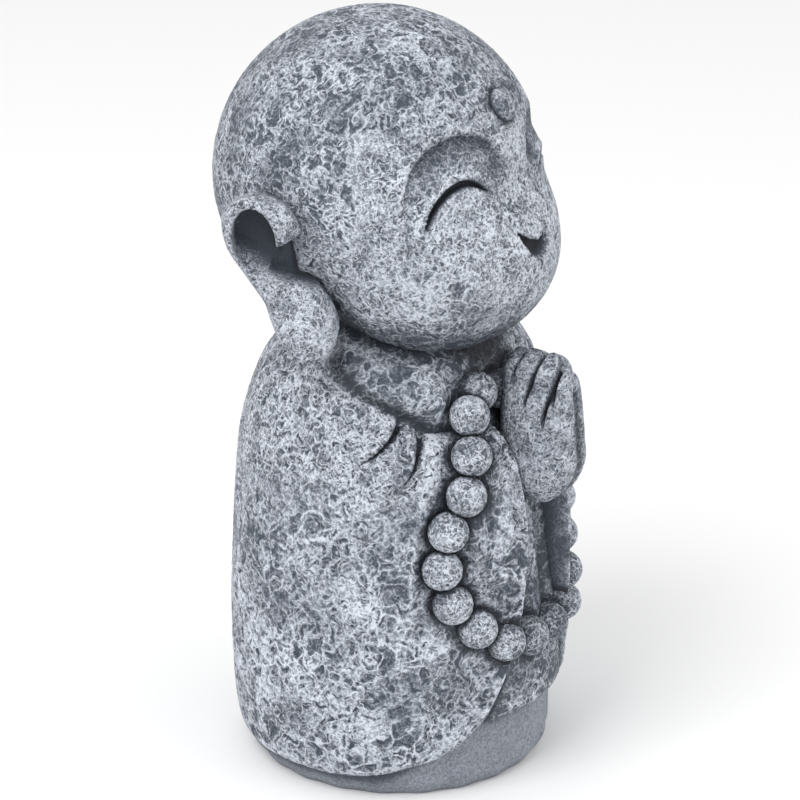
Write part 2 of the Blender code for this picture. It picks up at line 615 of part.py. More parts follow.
def hands_form():
    fore = np.array([-0.84, -0.70, -0.58, -0.46, -0.32, -0.18, -0.06, 0.06, 0.21, 0.36, 0.50, 0.80])
    right = np.arccos(-fore) / (math.pi / 2)
    around = np.concatenate([[0.0], right, [2.0], 4.0 - right[::-1]])
    shares = (0.0, 0.07, 0.18, 0.32, 0.45, 0.55, 0.66, 0.78, 0.88, 0.96, 1.0)
    points = np.array([hands_point(around, share) for share in shares])
    return form("hands", closed_grid("hands", points))


def stone(name):
    material = bpy.data.materials.new(name)
    material.use_nodes = True
    shader = material.node_tree.nodes["Principled BSDF"]
    shader.inputs["Base Color"].default_value = STONE_COLOUR
    shader.inputs["Roughness"].default_value = STONE_ROUGHNESS
    shader.inputs["Metallic"].default_value = 0.0
    return material


def main():
    for old in list(bpy.data.objects):
        bpy.data.objects.remove(old)
    figurine = robe_form()
    figurine.name = "jizo_figurine"
    figurine.data.materials.append(stone("cast_stone"))
    for side in (1, -1):
        boolean(figurine, sleeve_form(side), "UNION")
        for index in range(len(CREASES)):
            boolean(figurine, crease_cut(index, side), "DIFFERENCE")
    head = head_form()
    for side in (1, -1):
        boolean(head, brow_hollow(side), "DIFFERENCE")
        boolean(head, eye_slit(side), "DIFFERENCE")
    boolean(head, mouth_cut(), "DIFFERENCE")
    boolean(head, urna_form(), "UNION")
    for side in (1, -1):
        boolean(head, ear_form(side), "UNION")
    boolean(figurine, head, "UNION")
    boolean(figurine, hands_form(), "UNION")
    for index, centre in enumerate(bead_centres()):
        boolean(figurine, bead_form(index, centre), "UNION")


main()
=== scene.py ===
"""Dresses the cast jizo figurine: a round-headed child monk in painted stone.

The visual is nine closed surfaces, each worked out with numpy on a grid: the head, its urna, two ears, the
robe, two sleeves, the hands and the beads. A raised crackle stands out of every surface. The paint is dark
blue-grey, and a nearly dry brush has left pale paint on whatever stands highest. Shade is painted too: the
creases, hollows and joints between pieces are painted darker, down to near black.

Metres, +Z up. The figure faces -Y, so its right side is at -X.
"""

import itertools
import math

import bmesh
import bpy
import numpy as np
from bpy.props import FloatProperty, FloatVectorProperty, IntProperty, PointerProperty
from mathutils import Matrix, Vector


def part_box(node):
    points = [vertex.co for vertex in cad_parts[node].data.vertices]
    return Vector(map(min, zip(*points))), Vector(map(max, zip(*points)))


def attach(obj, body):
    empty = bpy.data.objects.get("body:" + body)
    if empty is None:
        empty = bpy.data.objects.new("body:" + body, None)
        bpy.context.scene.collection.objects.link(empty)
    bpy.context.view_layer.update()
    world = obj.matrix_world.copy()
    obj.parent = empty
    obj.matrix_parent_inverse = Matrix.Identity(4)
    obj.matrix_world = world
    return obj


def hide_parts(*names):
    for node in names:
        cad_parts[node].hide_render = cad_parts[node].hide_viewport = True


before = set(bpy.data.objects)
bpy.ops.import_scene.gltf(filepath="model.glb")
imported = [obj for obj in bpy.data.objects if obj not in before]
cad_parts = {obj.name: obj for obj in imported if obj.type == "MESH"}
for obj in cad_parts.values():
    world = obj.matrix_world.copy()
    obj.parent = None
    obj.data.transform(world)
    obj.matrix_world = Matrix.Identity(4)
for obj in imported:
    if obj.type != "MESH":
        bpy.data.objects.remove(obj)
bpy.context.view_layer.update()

bl_info = {
    "name": "Jizo figurine finish",
    "version": (1, 0, 0),
    "blender": (4, 5, 0),
    "location": "View3D > Sidebar > Jizo",
    "description": "Builds the crackled stone surface of a small jizo figurine",
    "category": "Add Mesh",
}

NODE = "jizo_figurine"

# One millimetre on the real figurine, from the solid's height in the frame.
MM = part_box(NODE)[1].z / 108.7
FIGURE_HEIGHT = 108.8 * MM
BODY_HEIGHT = 68.0 * MM
HEAD_RADIUS = 22.9 * MM
HEAD_CENTRE = np.array([0.0, 3.2 * MM, FIGURE_HEIGHT - HEAD_RADIUS])


# Curves and blends

def through(at, stations, values):
    """A smooth curve through (station, value) pairs, in cubic pieces whose slopes come from the neighbours."""
    stations, values, at = np.asarray(stations, float), np.asarray(values, float), np.asarray(at, float)
    slopes = np.gradient(values, stations, axis=0)
    left = np.clip(np.searchsorted(stations, at, side="right") - 1, 0, len(stations) - 2)
    span = stations[left + 1] - stations[left]
    t = np.clip((at - stations[left]) / span, 0.0, 1.0)
    if values.ndim > 1:
        t, span = t[..., None], span[..., None]
    rise = values[left] * (2 * t**3 - 3 * t**2 + 1) + values[left + 1] * (3 * t**2 - 2 * t**3)
    return rise + span * (slopes[left] * (t**3 - 2 * t**2 + t) + slopes[left + 1] * (t**3 - t**2))


def smooth_path(points, count):
    """A polyline of count points along the smooth curve through a few points."""
    return through(np.linspace(0, len(points) - 1, count), np.arange(len(points)), np.array(points))


def bump(distance, width):
    """A bell curve of height 1 that falls to a third at one width from its middle."""
    return np.exp(-((distance / width) ** 2))


def near(distance, width):
    """1 where a distance is 0 or less, and that bell curve beyond."""
    return bump(np.maximum(distance, 0.0), width)


def step(value, start, end):
    """0 before start, 1 after end, and a smooth rise between."""
    t = np.clip((value - start) / (end - start), 0.0, 1.0)
    return t * t * (3 - 2 * t)


def soft_max(a, b, blend):
    """The larger of two distances, rounded where they are within blend of each other."""
    overlap = np.maximum(blend - np.abs(a - b), 0.0) / blend
    return np.maximum(a, b) + overlap**2 * blend / 4


def path_distance(across, up, path):
    """The distance from each flat point to a polyline, and how far along it (0 to 1) the nearest place is."""
    best, place = np.full(np.shape(across), np.inf), np.zeros(np.shape(across))
    for k, (start, end) in enumerate(zip(path, path[1:])):
        along = end - start
        t = ((across - start[0]) * along[0] + (up - start[1]) * along[1]) / (along**2).sum()
        t = np.clip(t, 0.0, 1.0)
        distance = np.hypot(across - start[0] - t * along[0], up - start[1] - t * along[1])
        place = np.where(distance < best, (k + t) / (len(path) - 1), place)
        best = np.minimum(best, distance)
    return best, place


# Meshes

def cube_ball(cells):
    """Directions and faces of a ball without poles: the lattice of a cube of cells by cells squares a side,
    every point pushed out to the unit ball so that the squares keep even angles."""
    line = np.arange(cells + 1)
    a, b = np.meshgrid(line, line, indexing="ij")
    sides = []
    for axis, end in itertools.product(range(3), (0, cells)):
        place = np.full((cells + 1, cells + 1, 3), end)
        place[..., (axis + 1) % 3] = a if end else b
        place[..., (axis + 2) % 3] = b if end else a
        sides.append(place)
    lattice, index = np.unique(np.array(sides).reshape(-1, 3), axis=0, return_inverse=True)
    index = index.reshape(6, cells + 1, cells + 1)
    quads = np.stack([index[:, :-1, :-1], index[:, 1:, :-1], index[:, 1:, 1:], index[:, :-1, 1:]], axis=-1)
    direction = np.tan((2 * lattice / cells - 1) * math.pi / 4)
    return direction / np.linalg.norm(direction, axis=1)[:, None], quads.reshape(-1, 4)


def closed_grid(points):
    """Points and faces of a closed surface from points[row, column]: the columns go round, and a fan of
    triangles closes each end row."""
    rows, columns = points.shape[:2]
    index = np.arange(rows * columns).reshape(rows, columns)
    right = np.roll(index, -1, axis=1)
    quads = np.stack([index[:-1], right[:-1], right[1:], index[1:]], axis=-1).reshape(-1, 4)
    first, last = np.full(columns, rows * columns), np.full(columns, rows * columns + 1)
    foot = np.stack([right[0], index[0], first], axis=-1)
    head = np.stack([index[-1], right[-1], last], axis=-1)
    hubs = points[[0, -1]].mean(axis=1)
    return np.vstack([points.reshape(-1, 3), hubs]), quads.tolist() + foot.tolist() + head.tolist()


def with_hubs(values, foot, head):
    """Values over a closed grid's points, with those at the middles of its end rows."""
    return np.append(values.ravel(), [foot, head])


def normals(mesh):
    """The vertices' unit normals as an array."""
    flat = np.empty(len(mesh.vertices) * 3, np.float32)
    mesh.vertex_normals.foreach_get("vector", flat)
    return flat.reshape(-1, 3).astype(float)


def link(name, data):
    """A new object of the scene with that data."""
    thing = bpy.data.objects.new(name, data)
    bpy.context.scene.collection.objects.link(thing)
    return thing


def set_attribute(mesh, name, values):
    attribute = mesh.attributes.new(name, "FLOAT", "POINT")
    attribute.data.foreach_set("value", np.broadcast_to(values, len(mesh.vertices)).astype(np.float32))


def add_piece(name, points, faces, height, cover, kind, fine=0.0):
    """A closed piece of the figurine in one of STONES. Every point moves out along its normal by the crackle
    times height. The piece carries three attributes for its paint: relief, the height as a share of
    ridge_height, cover, how much of the pale paint the brush leaves, lowered where shade is
    painted into creases, hollows and the joints between pieces, and fine, how far the crackle's small
    pattern takes over from its large one."""
    mesh = bpy.data.meshes.new(name)
    mesh.from_pydata(points.tolist(), [], faces if isinstance(faces, list) else faces.tolist())
    shell = bmesh.new()
    shell.from_mesh(mesh)
    bmesh.ops.recalc_face_normals(shell, faces=shell.faces)
    shell.to_mesh(mesh)
    shell.free()
    mesh.materials.append(stone(kind))
    piece = link(name, mesh)
    large, small = crackle_sizes(kind)
    ridge = sample_crackle(piece, large)
    if small != large:
        ridge = ridge * (1 - fine) + sample_crackle(piece, small) * fine
    moved = points + normals(mesh) * (height * (ridge - MEAN_RIDGE))[:, None]
    mesh.vertices.foreach_set("co", moved.astype(np.float32).ravel())
    full = bpy.context.scene.jizo_sizes.ridge_height
    set_attribute(mesh, "relief", np.clip(height / full, 0.0, 1.0))
    set_attribute(mesh, "cover", np.clip(cover, 0.0, 1.0))
    set_attribute(mesh, "fine", fine)
    mesh.shade_smooth()
    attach(piece, "root")
    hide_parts(NODE)


# Nodes

def add_node(tree, kind, inputs=(), **settings):
    """A node with its settings, and its inputs as values or as sockets to link from."""
    node = tree.nodes.new(kind)
    for key, value in settings.items():
        setattr(node, key, value)
    for key, value in dict(inputs).items():
        if isinstance(value, bpy.types.NodeSocket):
            tree.links.new(value, node.inputs[key])
        else:
            node.inputs[key].default_value = value
    return node


def maths(tree, operation, a, b):
    return add_node(tree, "ShaderNodeMath", {0: a, 1: b}, operation=operation).outputs[0]


def vectors(tree, operation, a, b):
    key = "Scale" if operation == "SCALE" else 1
    return add_node(tree, "ShaderNodeVectorMath", {0: a, key: b}, operation=operation).outputs[0]


def ramp(tree, value, low, high, at_low, at_high, shape="LINEAR"):
    """A value carried from low..high to at_low..at_high, and held beyond them."""
    inputs = {"Value": value, "From Min": low, "From Max": high, "To Min": at_low, "To Max": at_high}
    return add_node(tree, "ShaderNodeMapRange", inputs, interpolation_type=shape).outputs["Result"]


def noise(tree, place, scale, detail, output=0):
    return add_node(tree, "ShaderNodeTexNoise", {"Vector": place, "Scale": scale, "Detail": detail}).outputs[output]


def in_cells(tree, place, size):
    """A place counted in cells of a size in millimetres."""
    return vectors(tree, "SCALE", place, maths(tree, "DIVIDE", 1 / MM, size))


def sway(tree, place, scale, detail=1.0):
    """A vector whose three parts wander about 0 with the place."""
    return vectors(tree, "SUBTRACT", noise(tree, place, scale, detail, 1), (0.5, 0.5, 0.5))


def new_group(name, kind, inputs, outputs):
    """An empty node group with its named inputs and outputs, and its two end nodes' sockets."""
    group = bpy.data.node_groups.new(name, kind)
    for label, socket, default in inputs:
        made = group.interface.new_socket(label, in_out="INPUT", socket_type=socket)
        if default is not None:
            made.default_value = default
    for label, socket in outputs:
        group.interface.new_socket(label, in_out="OUTPUT", socket_type=socket)
    given = group.nodes.new("NodeGroupInput").outputs
    result = group.nodes.new("NodeGroupOutput").inputs
    return group, given, result


def net(tree, place, scale, width):
    """A net of cell borders: 1 on a border, falling steeply over width and then slowly to the cell's middle."""
    edge = add_node(tree, "ShaderNodeTexVoronoi", {"Vector": place, "Scale": scale},
                    feature="DISTANCE_TO_EDGE").outputs["Distance"]
    thread = ramp(tree, edge, 0.0, width, 0.70, 0.0, "SMOOTHSTEP")
    return maths(tree, "ADD", thread, ramp(tree, edge, 0.0, 0.40, 0.30, 0.0))


def strands(tree, place, scale, width):
    """Winding strands: 1 where either of two noises passes its middle value, falling to 0 at width."""
    away = vectors(tree, "ABSOLUTE", sway(tree, place, scale, 0.0), (0, 0, 0))
    parts = add_node(tree, "ShaderNodeSeparateXYZ", {0: away}).outputs
    nearest = maths(tree, "MINIMUM", parts[0], parts[1])
    thread = ramp(tree, nearest, 0.25 * width, width, 0.85, 0.0, "SMOOTHSTEP")
    return maths(tree, "ADD", thread, ramp(tree, nearest, 0.0, 0.12, 0.15, 0.0))


def crackle_group(kind):
    """The raised crackle, 0 in a pit and 1 on a ridge: a net of bent cell borders and winding strands, with
    a smaller net and smaller strands over them, all stronger in some patches than in others. Paint and
    relief use the same nodes, so the pale ridges lie on the raised ones."""
    name = "crackle_paint" if kind == "ShaderNodeTree" else "crackle_relief"
    if name in bpy.data.node_groups:
        return bpy.data.node_groups[name]
    group, given, result = new_group(name, kind, (
        ("Place", "NodeSocketVector", None), ("Size", "NodeSocketFloat", 1.9), ("Width", "NodeSocketFloat", 0.18),
    ), (("Ridge", "NodeSocketFloat"),))
    place = in_cells(group, given["Place"], given["Size"])
    bent = vectors(group, "ADD", place, vectors(group, "SCALE", sway(group, place, 0.9), 2.2))
    bent = vectors(group, "ADD", bent, vectors(group, "SCALE", sway(group, place, 3.0), 0.40))
    patch = add_node(group, "ShaderNodeSeparateXYZ", {0: noise(group, place, 0.42, 0.0, 1)}).outputs
    broad = maths(group, "MULTIPLY", net(group, bent, 0.85, given["Width"]),
                  ramp(group, patch[0], 0.3, 0.65, 0.62, 1.0))
    winding = maths(group, "MULTIPLY", strands(group, bent, 0.75, 0.060),
                    ramp(group, patch[1], 0.35, 0.65, 0.45, 1.0))
    small = maths(group, "MAXIMUM", strands(group, bent, 1.5, 0.080), net(group, bent, 1.9, 0.26))
    small = maths(group, "MULTIPLY", small, ramp(group, patch[2], 0.35, 0.65, 0.45, 0.80))
    valley = maths(group, "SUBTRACT", 1.0, maths(group, "MAXIMUM", broad, winding))
    valley = maths(group, "MULTIPLY", valley, maths(group, "SUBTRACT", 1.0, small))
    group.links.new(maths(group, "SUBTRACT", 1.0, valley), result["Ridge"])
    return group


def sample_crackle(piece, size):
    """The crackle of that size at every vertex of a piece, read back from the relief's nodes."""
    sampler = bpy.data.node_groups.get("crackle_sampler")
    if sampler is None:
        sampler, given, result = new_group("crackle_sampler", "GeometryNodeTree", (
            ("Geometry", "NodeSocketGeometry", None), ("Size", "NodeSocketFloat", 1.9),
        ), (("Geometry", "NodeSocketGeometry"),))
        place = sampler.nodes.new("GeometryNodeInputPosition").outputs[0]
        ridge = add_node(sampler, "GeometryNodeGroup", node_tree=crackle_group("GeometryNodeTree"))
        ridge.inputs["Width"].default_value = RELIEF_WIDTH
        sampler.links.new(place, ridge.inputs["Place"])
        sampler.links.new(given["Size"], ridge.inputs["Size"])
        store = add_node(sampler, "GeometryNodeStoreNamedAttribute", {
            "Geometry": given["Geometry"], "Name": "ridge", "Value": ridge.outputs["Ridge"]})
        sampler.links.new(store.outputs[0], result["Geometry"])
    modifier = piece.modifiers.new("sampler", "NODES")
    modifier.node_group = sampler
    modifier[sampler.interface.items_tree["Size"].identifier] = size / MM
    evaluated = piece.evaluated_get(bpy.context.evaluated_depsgraph_get())
    values = np.empty(len(piece.data.vertices), np.float32)
    evaluated.data.attributes["ridge"].data.foreach_get("value", values)
    piece.modifiers.remove(modifier)
    return values.astype(float)


def dry_brush_group():
    """The paint that a nearly dry brush leaves. The crackle, a net too fine for the mesh and a grain add up
    to a height, and Brush goes from 0 to 1, slowly at first, as that height passes a level that Cover and
    Shade lowers. Where shade is painted, Cover and Shade is low, so less pale paint shows."""
    if "dry_brush" in bpy.data.node_groups:
        return bpy.data.node_groups["dry_brush"]
    group, given, result = new_group("dry_brush", "ShaderNodeTree", (
        ("Place", "NodeSocketVector", None), ("Ridge", "NodeSocketFloat", 0.5), ("Cover", "NodeSocketFloat", 0.5),
        ("Grain Size", "NodeSocketFloat", 0.3), ("Grain", "NodeSocketFloat", 0.5),
        ("Fine Size", "NodeSocketFloat", 0.8), ("Fine", "NodeSocketFloat", 0.3), ("Contrast", "NodeSocketFloat", 1.0),
    ), (("Brush", "NodeSocketFloat"), ("Height", "NodeSocketFloat"), ("Wash", "NodeSocketFloat")))
    grain = noise(group, in_cells(group, given["Place"], given["Grain Size"]), 1.0, 3.0)
    grain = maths(group, "SUBTRACT", grain, 0.5)
    fine_place = in_cells(group, given["Place"], given["Fine Size"])
    bent = vectors(group, "ADD", fine_place, vectors(group, "SCALE", sway(group, fine_place, 1.4), 1.2))
    fine = net(group, bent, 1.0, 0.20)
    near_ridge = maths(group, "ADD", maths(group, "MULTIPLY", given["Ridge"], 0.3), 0.7)
    fine = maths(group, "MULTIPLY", maths(group, "MULTIPLY", fine, near_ridge), given["Fine"])
    height = maths(group, "ADD", maths(group, "MULTIPLY", given["Ridge"], 0.85), fine)
    height = maths(group, "ADD", height, maths(group, "MULTIPLY", grain, given["Grain"]))
    level = maths(group, "MULTIPLY", maths(group, "SUBTRACT", given["Cover"], 0.5), 1.2)
    above = maths(group, "SUBTRACT", maths(group, "ADD", height, level), 0.69)
    above = maths(group, "MULTIPLY", above, given["Contrast"])
    brush = maths(group, "POWER", ramp(group, above, -0.57, 0.57, 0.0, 1.0), 1.9)
    group.links.new(brush, result["Brush"])
    group.links.new(height, result["Height"])
    cloud_place = vectors(group, "SCALE", given["Place"], 1 / (7 * MM))
    group.links.new(noise(group, cloud_place, 1.0, 2.0), result["Wash"])
    return group


# The painted stones: the settings that size a stone's large and small crackle, the size in millimetres and
# the strength of its grain, the size in millimetres of the net too fine for the mesh, and the contrast.
STONES = {
    "head": ("head_cell", "face_cell", 0.26, 0.55, 0.80, 1.5),
    "ear": ("ear_cell", "ear_cell", 0.26, 0.65, 0.60, 1.25),
    "robe": ("robe_cell", "shoulder_cell", 0.30, 0.45, 0.95, 1.5),
    "bead": ("bead_cell", "bead_cell", 0.26, 0.50, 0.80, 1.6),
    "hand": ("hand_cell", "hand_cell", 0.30, 0.50, 0.80, 1.15),
}
# The strength of that net on carved stone.
FINE_NET = 0.30
# The crackle's height, from 0 to 1, that lies on the surface a piece is made with, and the width in cells
# of a ridge in the mesh, which is coarser than the paint.
MEAN_RIDGE = 0.4
RELIEF_WIDTH = 0.26


def crackle_sizes(kind):
    """The sizes of a stone's large and small crackle."""
    return [getattr(bpy.context.scene.jizo_sizes, key) for key in STONES[kind][:2]]


def stone(kind):
    """Painted stone with the large crackle, or the small one where the attribute fine says so. The paint goes
    from the dark wash in the pits to the dry-brushed ridges, and where cover is low the wash goes
    over into the near-black painted shade of the creases. The crackle and the grain that the mesh is too
    coarse for are a shallow bump."""
    name = kind + "_stone"
    if name in bpy.data.materials:
        return bpy.data.materials[name]
    finish = bpy.context.scene.jizo_finish
    material = bpy.data.materials.new(name)
    material.use_nodes = True
    tree = material.node_tree
    shader = tree.nodes["Principled BSDF"]
    place = tree.nodes.new("ShaderNodeTexCoord").outputs["Object"]
    masks = [add_node(tree, "ShaderNodeAttribute", attribute_name=label).outputs["Fac"]
             for label in ("relief", "cover", "fine")]
    ridges = []
    for size in sorted(set(crackle_sizes(kind)), reverse=True):
        crackle = add_node(tree, "ShaderNodeGroup", node_tree=crackle_group("ShaderNodeTree"))
        crackle.inputs["Size"].default_value = size / MM
        tree.links.new(place, crackle.inputs["Place"])
        ridges.append(crackle.outputs["Ridge"])
    ridge = ridges[0]
    if len(ridges) > 1:
        ridge = add_node(tree, "ShaderNodeMix", {0: masks[2], 2: ridges[0], 3: ridges[1]}).outputs[0]
    carved = ramp(tree, masks[0], 0.0, 0.45, 0.0, 1.0)
    ridge = add_node(tree, "ShaderNodeMix", {0: carved, 2: 0.45, 3: ridge}).outputs[0]
    brush = add_node(tree, "ShaderNodeGroup", node_tree=dry_brush_group())
    for key, value in zip(("Grain Size", "Grain", "Fine Size", "Contrast"), STONES[kind][2:]):
        brush.inputs[key].default_value = value
    fine_net = ramp(tree, masks[0], 0.0, 0.3, 0.25 * FINE_NET, FINE_NET)
    for key, socket in (("Place", place), ("Ridge", ridge), ("Cover", masks[1]), ("Fine", fine_net)):
        tree.links.new(socket, brush.inputs[key])
    # Painted shade: below 0.4 of cover the dark wash goes over into the near-black crease shade colour.
    shade = ramp(tree, masks[1], 0.0, 0.4, 0.0, 1.0)
    dark = add_node(tree, "ShaderNodeMix", {0: shade, 6: (*finish.crease_shade_colour, 1.0), 7: (*finish.pit_colour, 1.0)},
                    data_type="RGBA").outputs[2]
    coat = maths(tree, "MULTIPLY", brush.outputs["Brush"], ramp(tree, brush.outputs["Wash"], 0.3, 0.7, 0.82, 1.0))
    colour = add_node(tree, "ShaderNodeMix", {0: coat, 6: dark, 7: (*finish.ridge_colour, 1.0)}, data_type="RGBA")
    tree.links.new(colour.outputs[2], shader.inputs["Base Color"])
    tree.links.new(ramp(tree, coat, 0.0, 1.0, 0.62, 0.88), shader.inputs["Roughness"])
    relief = add_node(tree, "ShaderNodeBump", {"Strength": 0.8, "Distance": 0.28 * MM,
                                               "Height": brush.outputs["Height"]})
    tree.links.new(relief.outputs["Normal"], shader.inputs["Normal"])
    shader.inputs["Specular IOR Level"].default_value = 0.35
    return material


# Head. Clay lumps, each an ellipsoid given by its centre, radii and blend as shares of HEAD_RADIUS from
# the head's centre. A direction is read as a turn from straight ahead and a rise above level.
HEAD_LUMPS = (
    ((0.0, 0.0, 0.0), (1.01, 1.0, 1.0), 0.10),
    ((0.0, -0.46, -0.43), (0.85, 0.67, 0.60), 0.22),
    ((0.0, -0.74, -0.36), (0.30, 0.34, 0.28), 0.16),
    ((-0.46, -0.50, -0.31), (0.37, 0.37, 0.37), 0.14),
    ((0.46, -0.50, -0.31), (0.37, 0.37, 0.37), 0.14),
)
UNDER_HEAD = 2.4 * MM
# The edge of the ear's canal, as rises and the turns there, and its depth in millimetres.
CANAL_EDGE = ((-38.0, -31.0, -27.5, -23.8, -19.5, -16.0, -12.0, -9.0),
              (89.0, 90.2, 89.8, 89.0, 87.8, 87.2, 87.4, 88.0))
CANAL_DEPTH = 2.4
# Places on the face as (turn, rise) in degrees. The hollow under a brow is sharp at the brow's edge and
# runs out above the closed eye. Both of its edges are read as angle and distance from HOLLOW_MIDDLE.
HOLLOW_MIDDLE = (29.0, 0.0)
BROW_EDGE = ((47.0, -9.0), (48.9, -0.7), (48.6, 7.5), (45.5, 15.5), (39.5, 20.9), (30.5, 24.3),
             (20.8, 24.2), (13.3, 21.0), (8.8, 15.3), (7.2, 8.4))
HOLLOW_EDGE = ((44.5, -8.0), (43.0, -1.0), (41.0, 3.5), (37.5, 7.2), (33.0, 9.8), (28.0, 10.8),
               (22.5, 10.2), (17.5, 8.2), (13.5, 5.4), (11.0, 3.0))
HOLLOW_FADE = (0.0, 0.30, 0.55, 0.85, 1.0, 1.0, 1.0, 0.9, 0.7, 0.0)
BROW_DEPTH = 1.2 * MM
EYE_ARC = ((42.0, -5.2), (39.6, -1.0), (37.4, 2.2), (34.6, 5.0), (30.6, 7.4), (26.2, 8.2), (22.0, 7.2), (17.6, 4.4))
EYE_WIDTH = 1.15 * MM
EYE_DEPTH = 1.3 * MM
MOUTH_HALF_WIDTH = 8.7
MOUTH_DEPTH = 2.7 * MM
URNA_RADIUS = 2.3 * MM
URNA_HEIGHT = 1.6 * MM
URNA_RISE = 31.0


def head_direction(turn, rise):
    return np.stack([-np.sin(turn) * np.cos(rise), -np.cos(turn) * np.cos(rise), np.sin(rise)], axis=-1)


def lump_reach(direction, centre, radii):
    """How far a ray from the head's centre runs before it leaves an ellipsoid, or 0 where it misses."""
    centre, radii = np.array(centre) * HEAD_RADIUS, np.array(radii) * HEAD_RADIUS
    along, offset = direction / radii, centre / radii
    a, b, c = (along**2).sum(-1), (along * offset).sum(-1), (offset**2).sum() - 1
    inside = b * b - a * c
    return np.where(inside > 0, (b + np.sqrt(np.maximum(inside, 0.0))) / a, 0.0)


def head_reach(turn, rise):
    """The head's surface as a distance from its centre: the lumps joined softly, drawn in below the ears,
    less a crease from each eye's inner end to the corner of the mouth, plus the ridge before each ear,
    behind which the surface drops into the ear's canal."""
    direction = head_direction(turn, rise)
    reach = 0.0 * turn
    for centre, radii, blend in HEAD_LUMPS:
        reach = soft_max(reach, lump_reach(direction, centre, radii), blend * HEAD_RADIUS)
        if blend == HEAD_LUMPS[0][2]:
            reach = reach - UNDER_HEAD * step(-rise, math.radians(10), math.radians(62))
    side, up = np.degrees(np.abs(np.arctan2(np.sin(turn), np.cos(turn)))), np.degrees(rise)
    crease = bump(side - 10.5, 4.5) * bump(up + 1, 9)
    bridge = bump(side, 9) * bump(up - 6, 8)
    return reach + MM * (0.8 * ear_ridge(side, up) - CANAL_DEPTH * ear_canal(side, up) - 0.5 * crease - 0.5 * bridge)


def ear_ridge(side, up):
    """The ridge on the head before each ear, from 0 to 1, over turn and rise in degrees."""
    return bump(side - np.interp(up, *CANAL_EDGE) + 2.6, 2.6) * bump(up + 21, 7.5)


def ear_canal(side, up):
    """The sunk strip between that ridge and the ear, from 0 to 1."""
    behind = side - np.interp(up, *CANAL_EDGE)
    return step(behind, 0.0, 3.0) * step(-behind, -15, -10) * step(up, -37, -30) * step(-up, 9, 13)


def brow_hollow(turn, rise):
    """The hollow under each brow, from 0 outside to 1 at the brow's edge: its share of the way out from
    the lower edge to the brow, times its fade at both ends."""
    across, up = np.degrees(np.abs(turn)) - HOLLOW_MIDDLE[0], np.degrees(rise) - HOLLOW_MIDDLE[1]
    angle, distance = np.arctan2(up, across), np.hypot(across, up)
    edges = []
    for outline in (BROW_EDGE, HOLLOW_EDGE):
        x, y = (np.array(outline) - HOLLOW_MIDDLE).T
        edges.append((np.arctan2(y, x), np.hypot(x, y)))
    brow, edge = (through(angle, *outline) for outline in edges)
    fade = np.interp(angle, edges[0][0], HOLLOW_FADE, left=0.0, right=0.0)
    share = (distance - edge) / (brow - edge)
    return fade * np.clip(share, 0.0, 1.0) ** 0.8 * (1 - step(share, 0.97, 1.06))


def eye_slit(turn, rise):
    """The closed eye's groove, from 0 outside to 1 in its middle line, and the distance to that line."""
    path = smooth_path(np.radians(EYE_ARC) * HEAD_RADIUS * [0.99, 1.0], 28)
    distance, place = path_distance(np.abs(turn) * HEAD_RADIUS * 0.99, rise * HEAD_RADIUS, path)
    half = 0.5 * EYE_WIDTH * np.sqrt(np.sin(math.pi * np.clip(place, 0.012, 0.985)))
    return 1 - step(distance, 0.45 * half, 1.25 * half), distance


def mouth_wedge(turn, rise):
    """The small open smile, from 0 outside to 1 at its deepest, under the upper lip: both lips' edges are
    curves over the distance from the middle that meet at the corners."""
    side, up = np.degrees(np.abs(turn)) / MOUTH_HALF_WIDTH, np.degrees(rise)
    upper = -13.3 + 3.6 * side**1.6
    lower = -18.7 + 7.2 * side**1.7 + 1.7 * side**12
    inside = step(np.minimum(upper - up, up - lower), -0.25, 0.9)
    slope = np.clip((up - lower) / np.maximum(upper - lower, 0.5), 0.0, 1.0)
    return inside * (0.55 + 0.45 * slope) * (side < 1)


def on_head(points):
    """Turn, rise and distance from the head's centre of points in space."""
    offset = points - HEAD_CENTRE
    distance = np.linalg.norm(offset, axis=-1)
    return np.arctan2(-offset[..., 0], -offset[..., 1]), np.arcsin(offset[..., 2] / distance), distance


def above_head(points):
    """How far points stand off the head."""
    turn, rise, distance = on_head(points)
    return distance - head_reach(turn, rise)


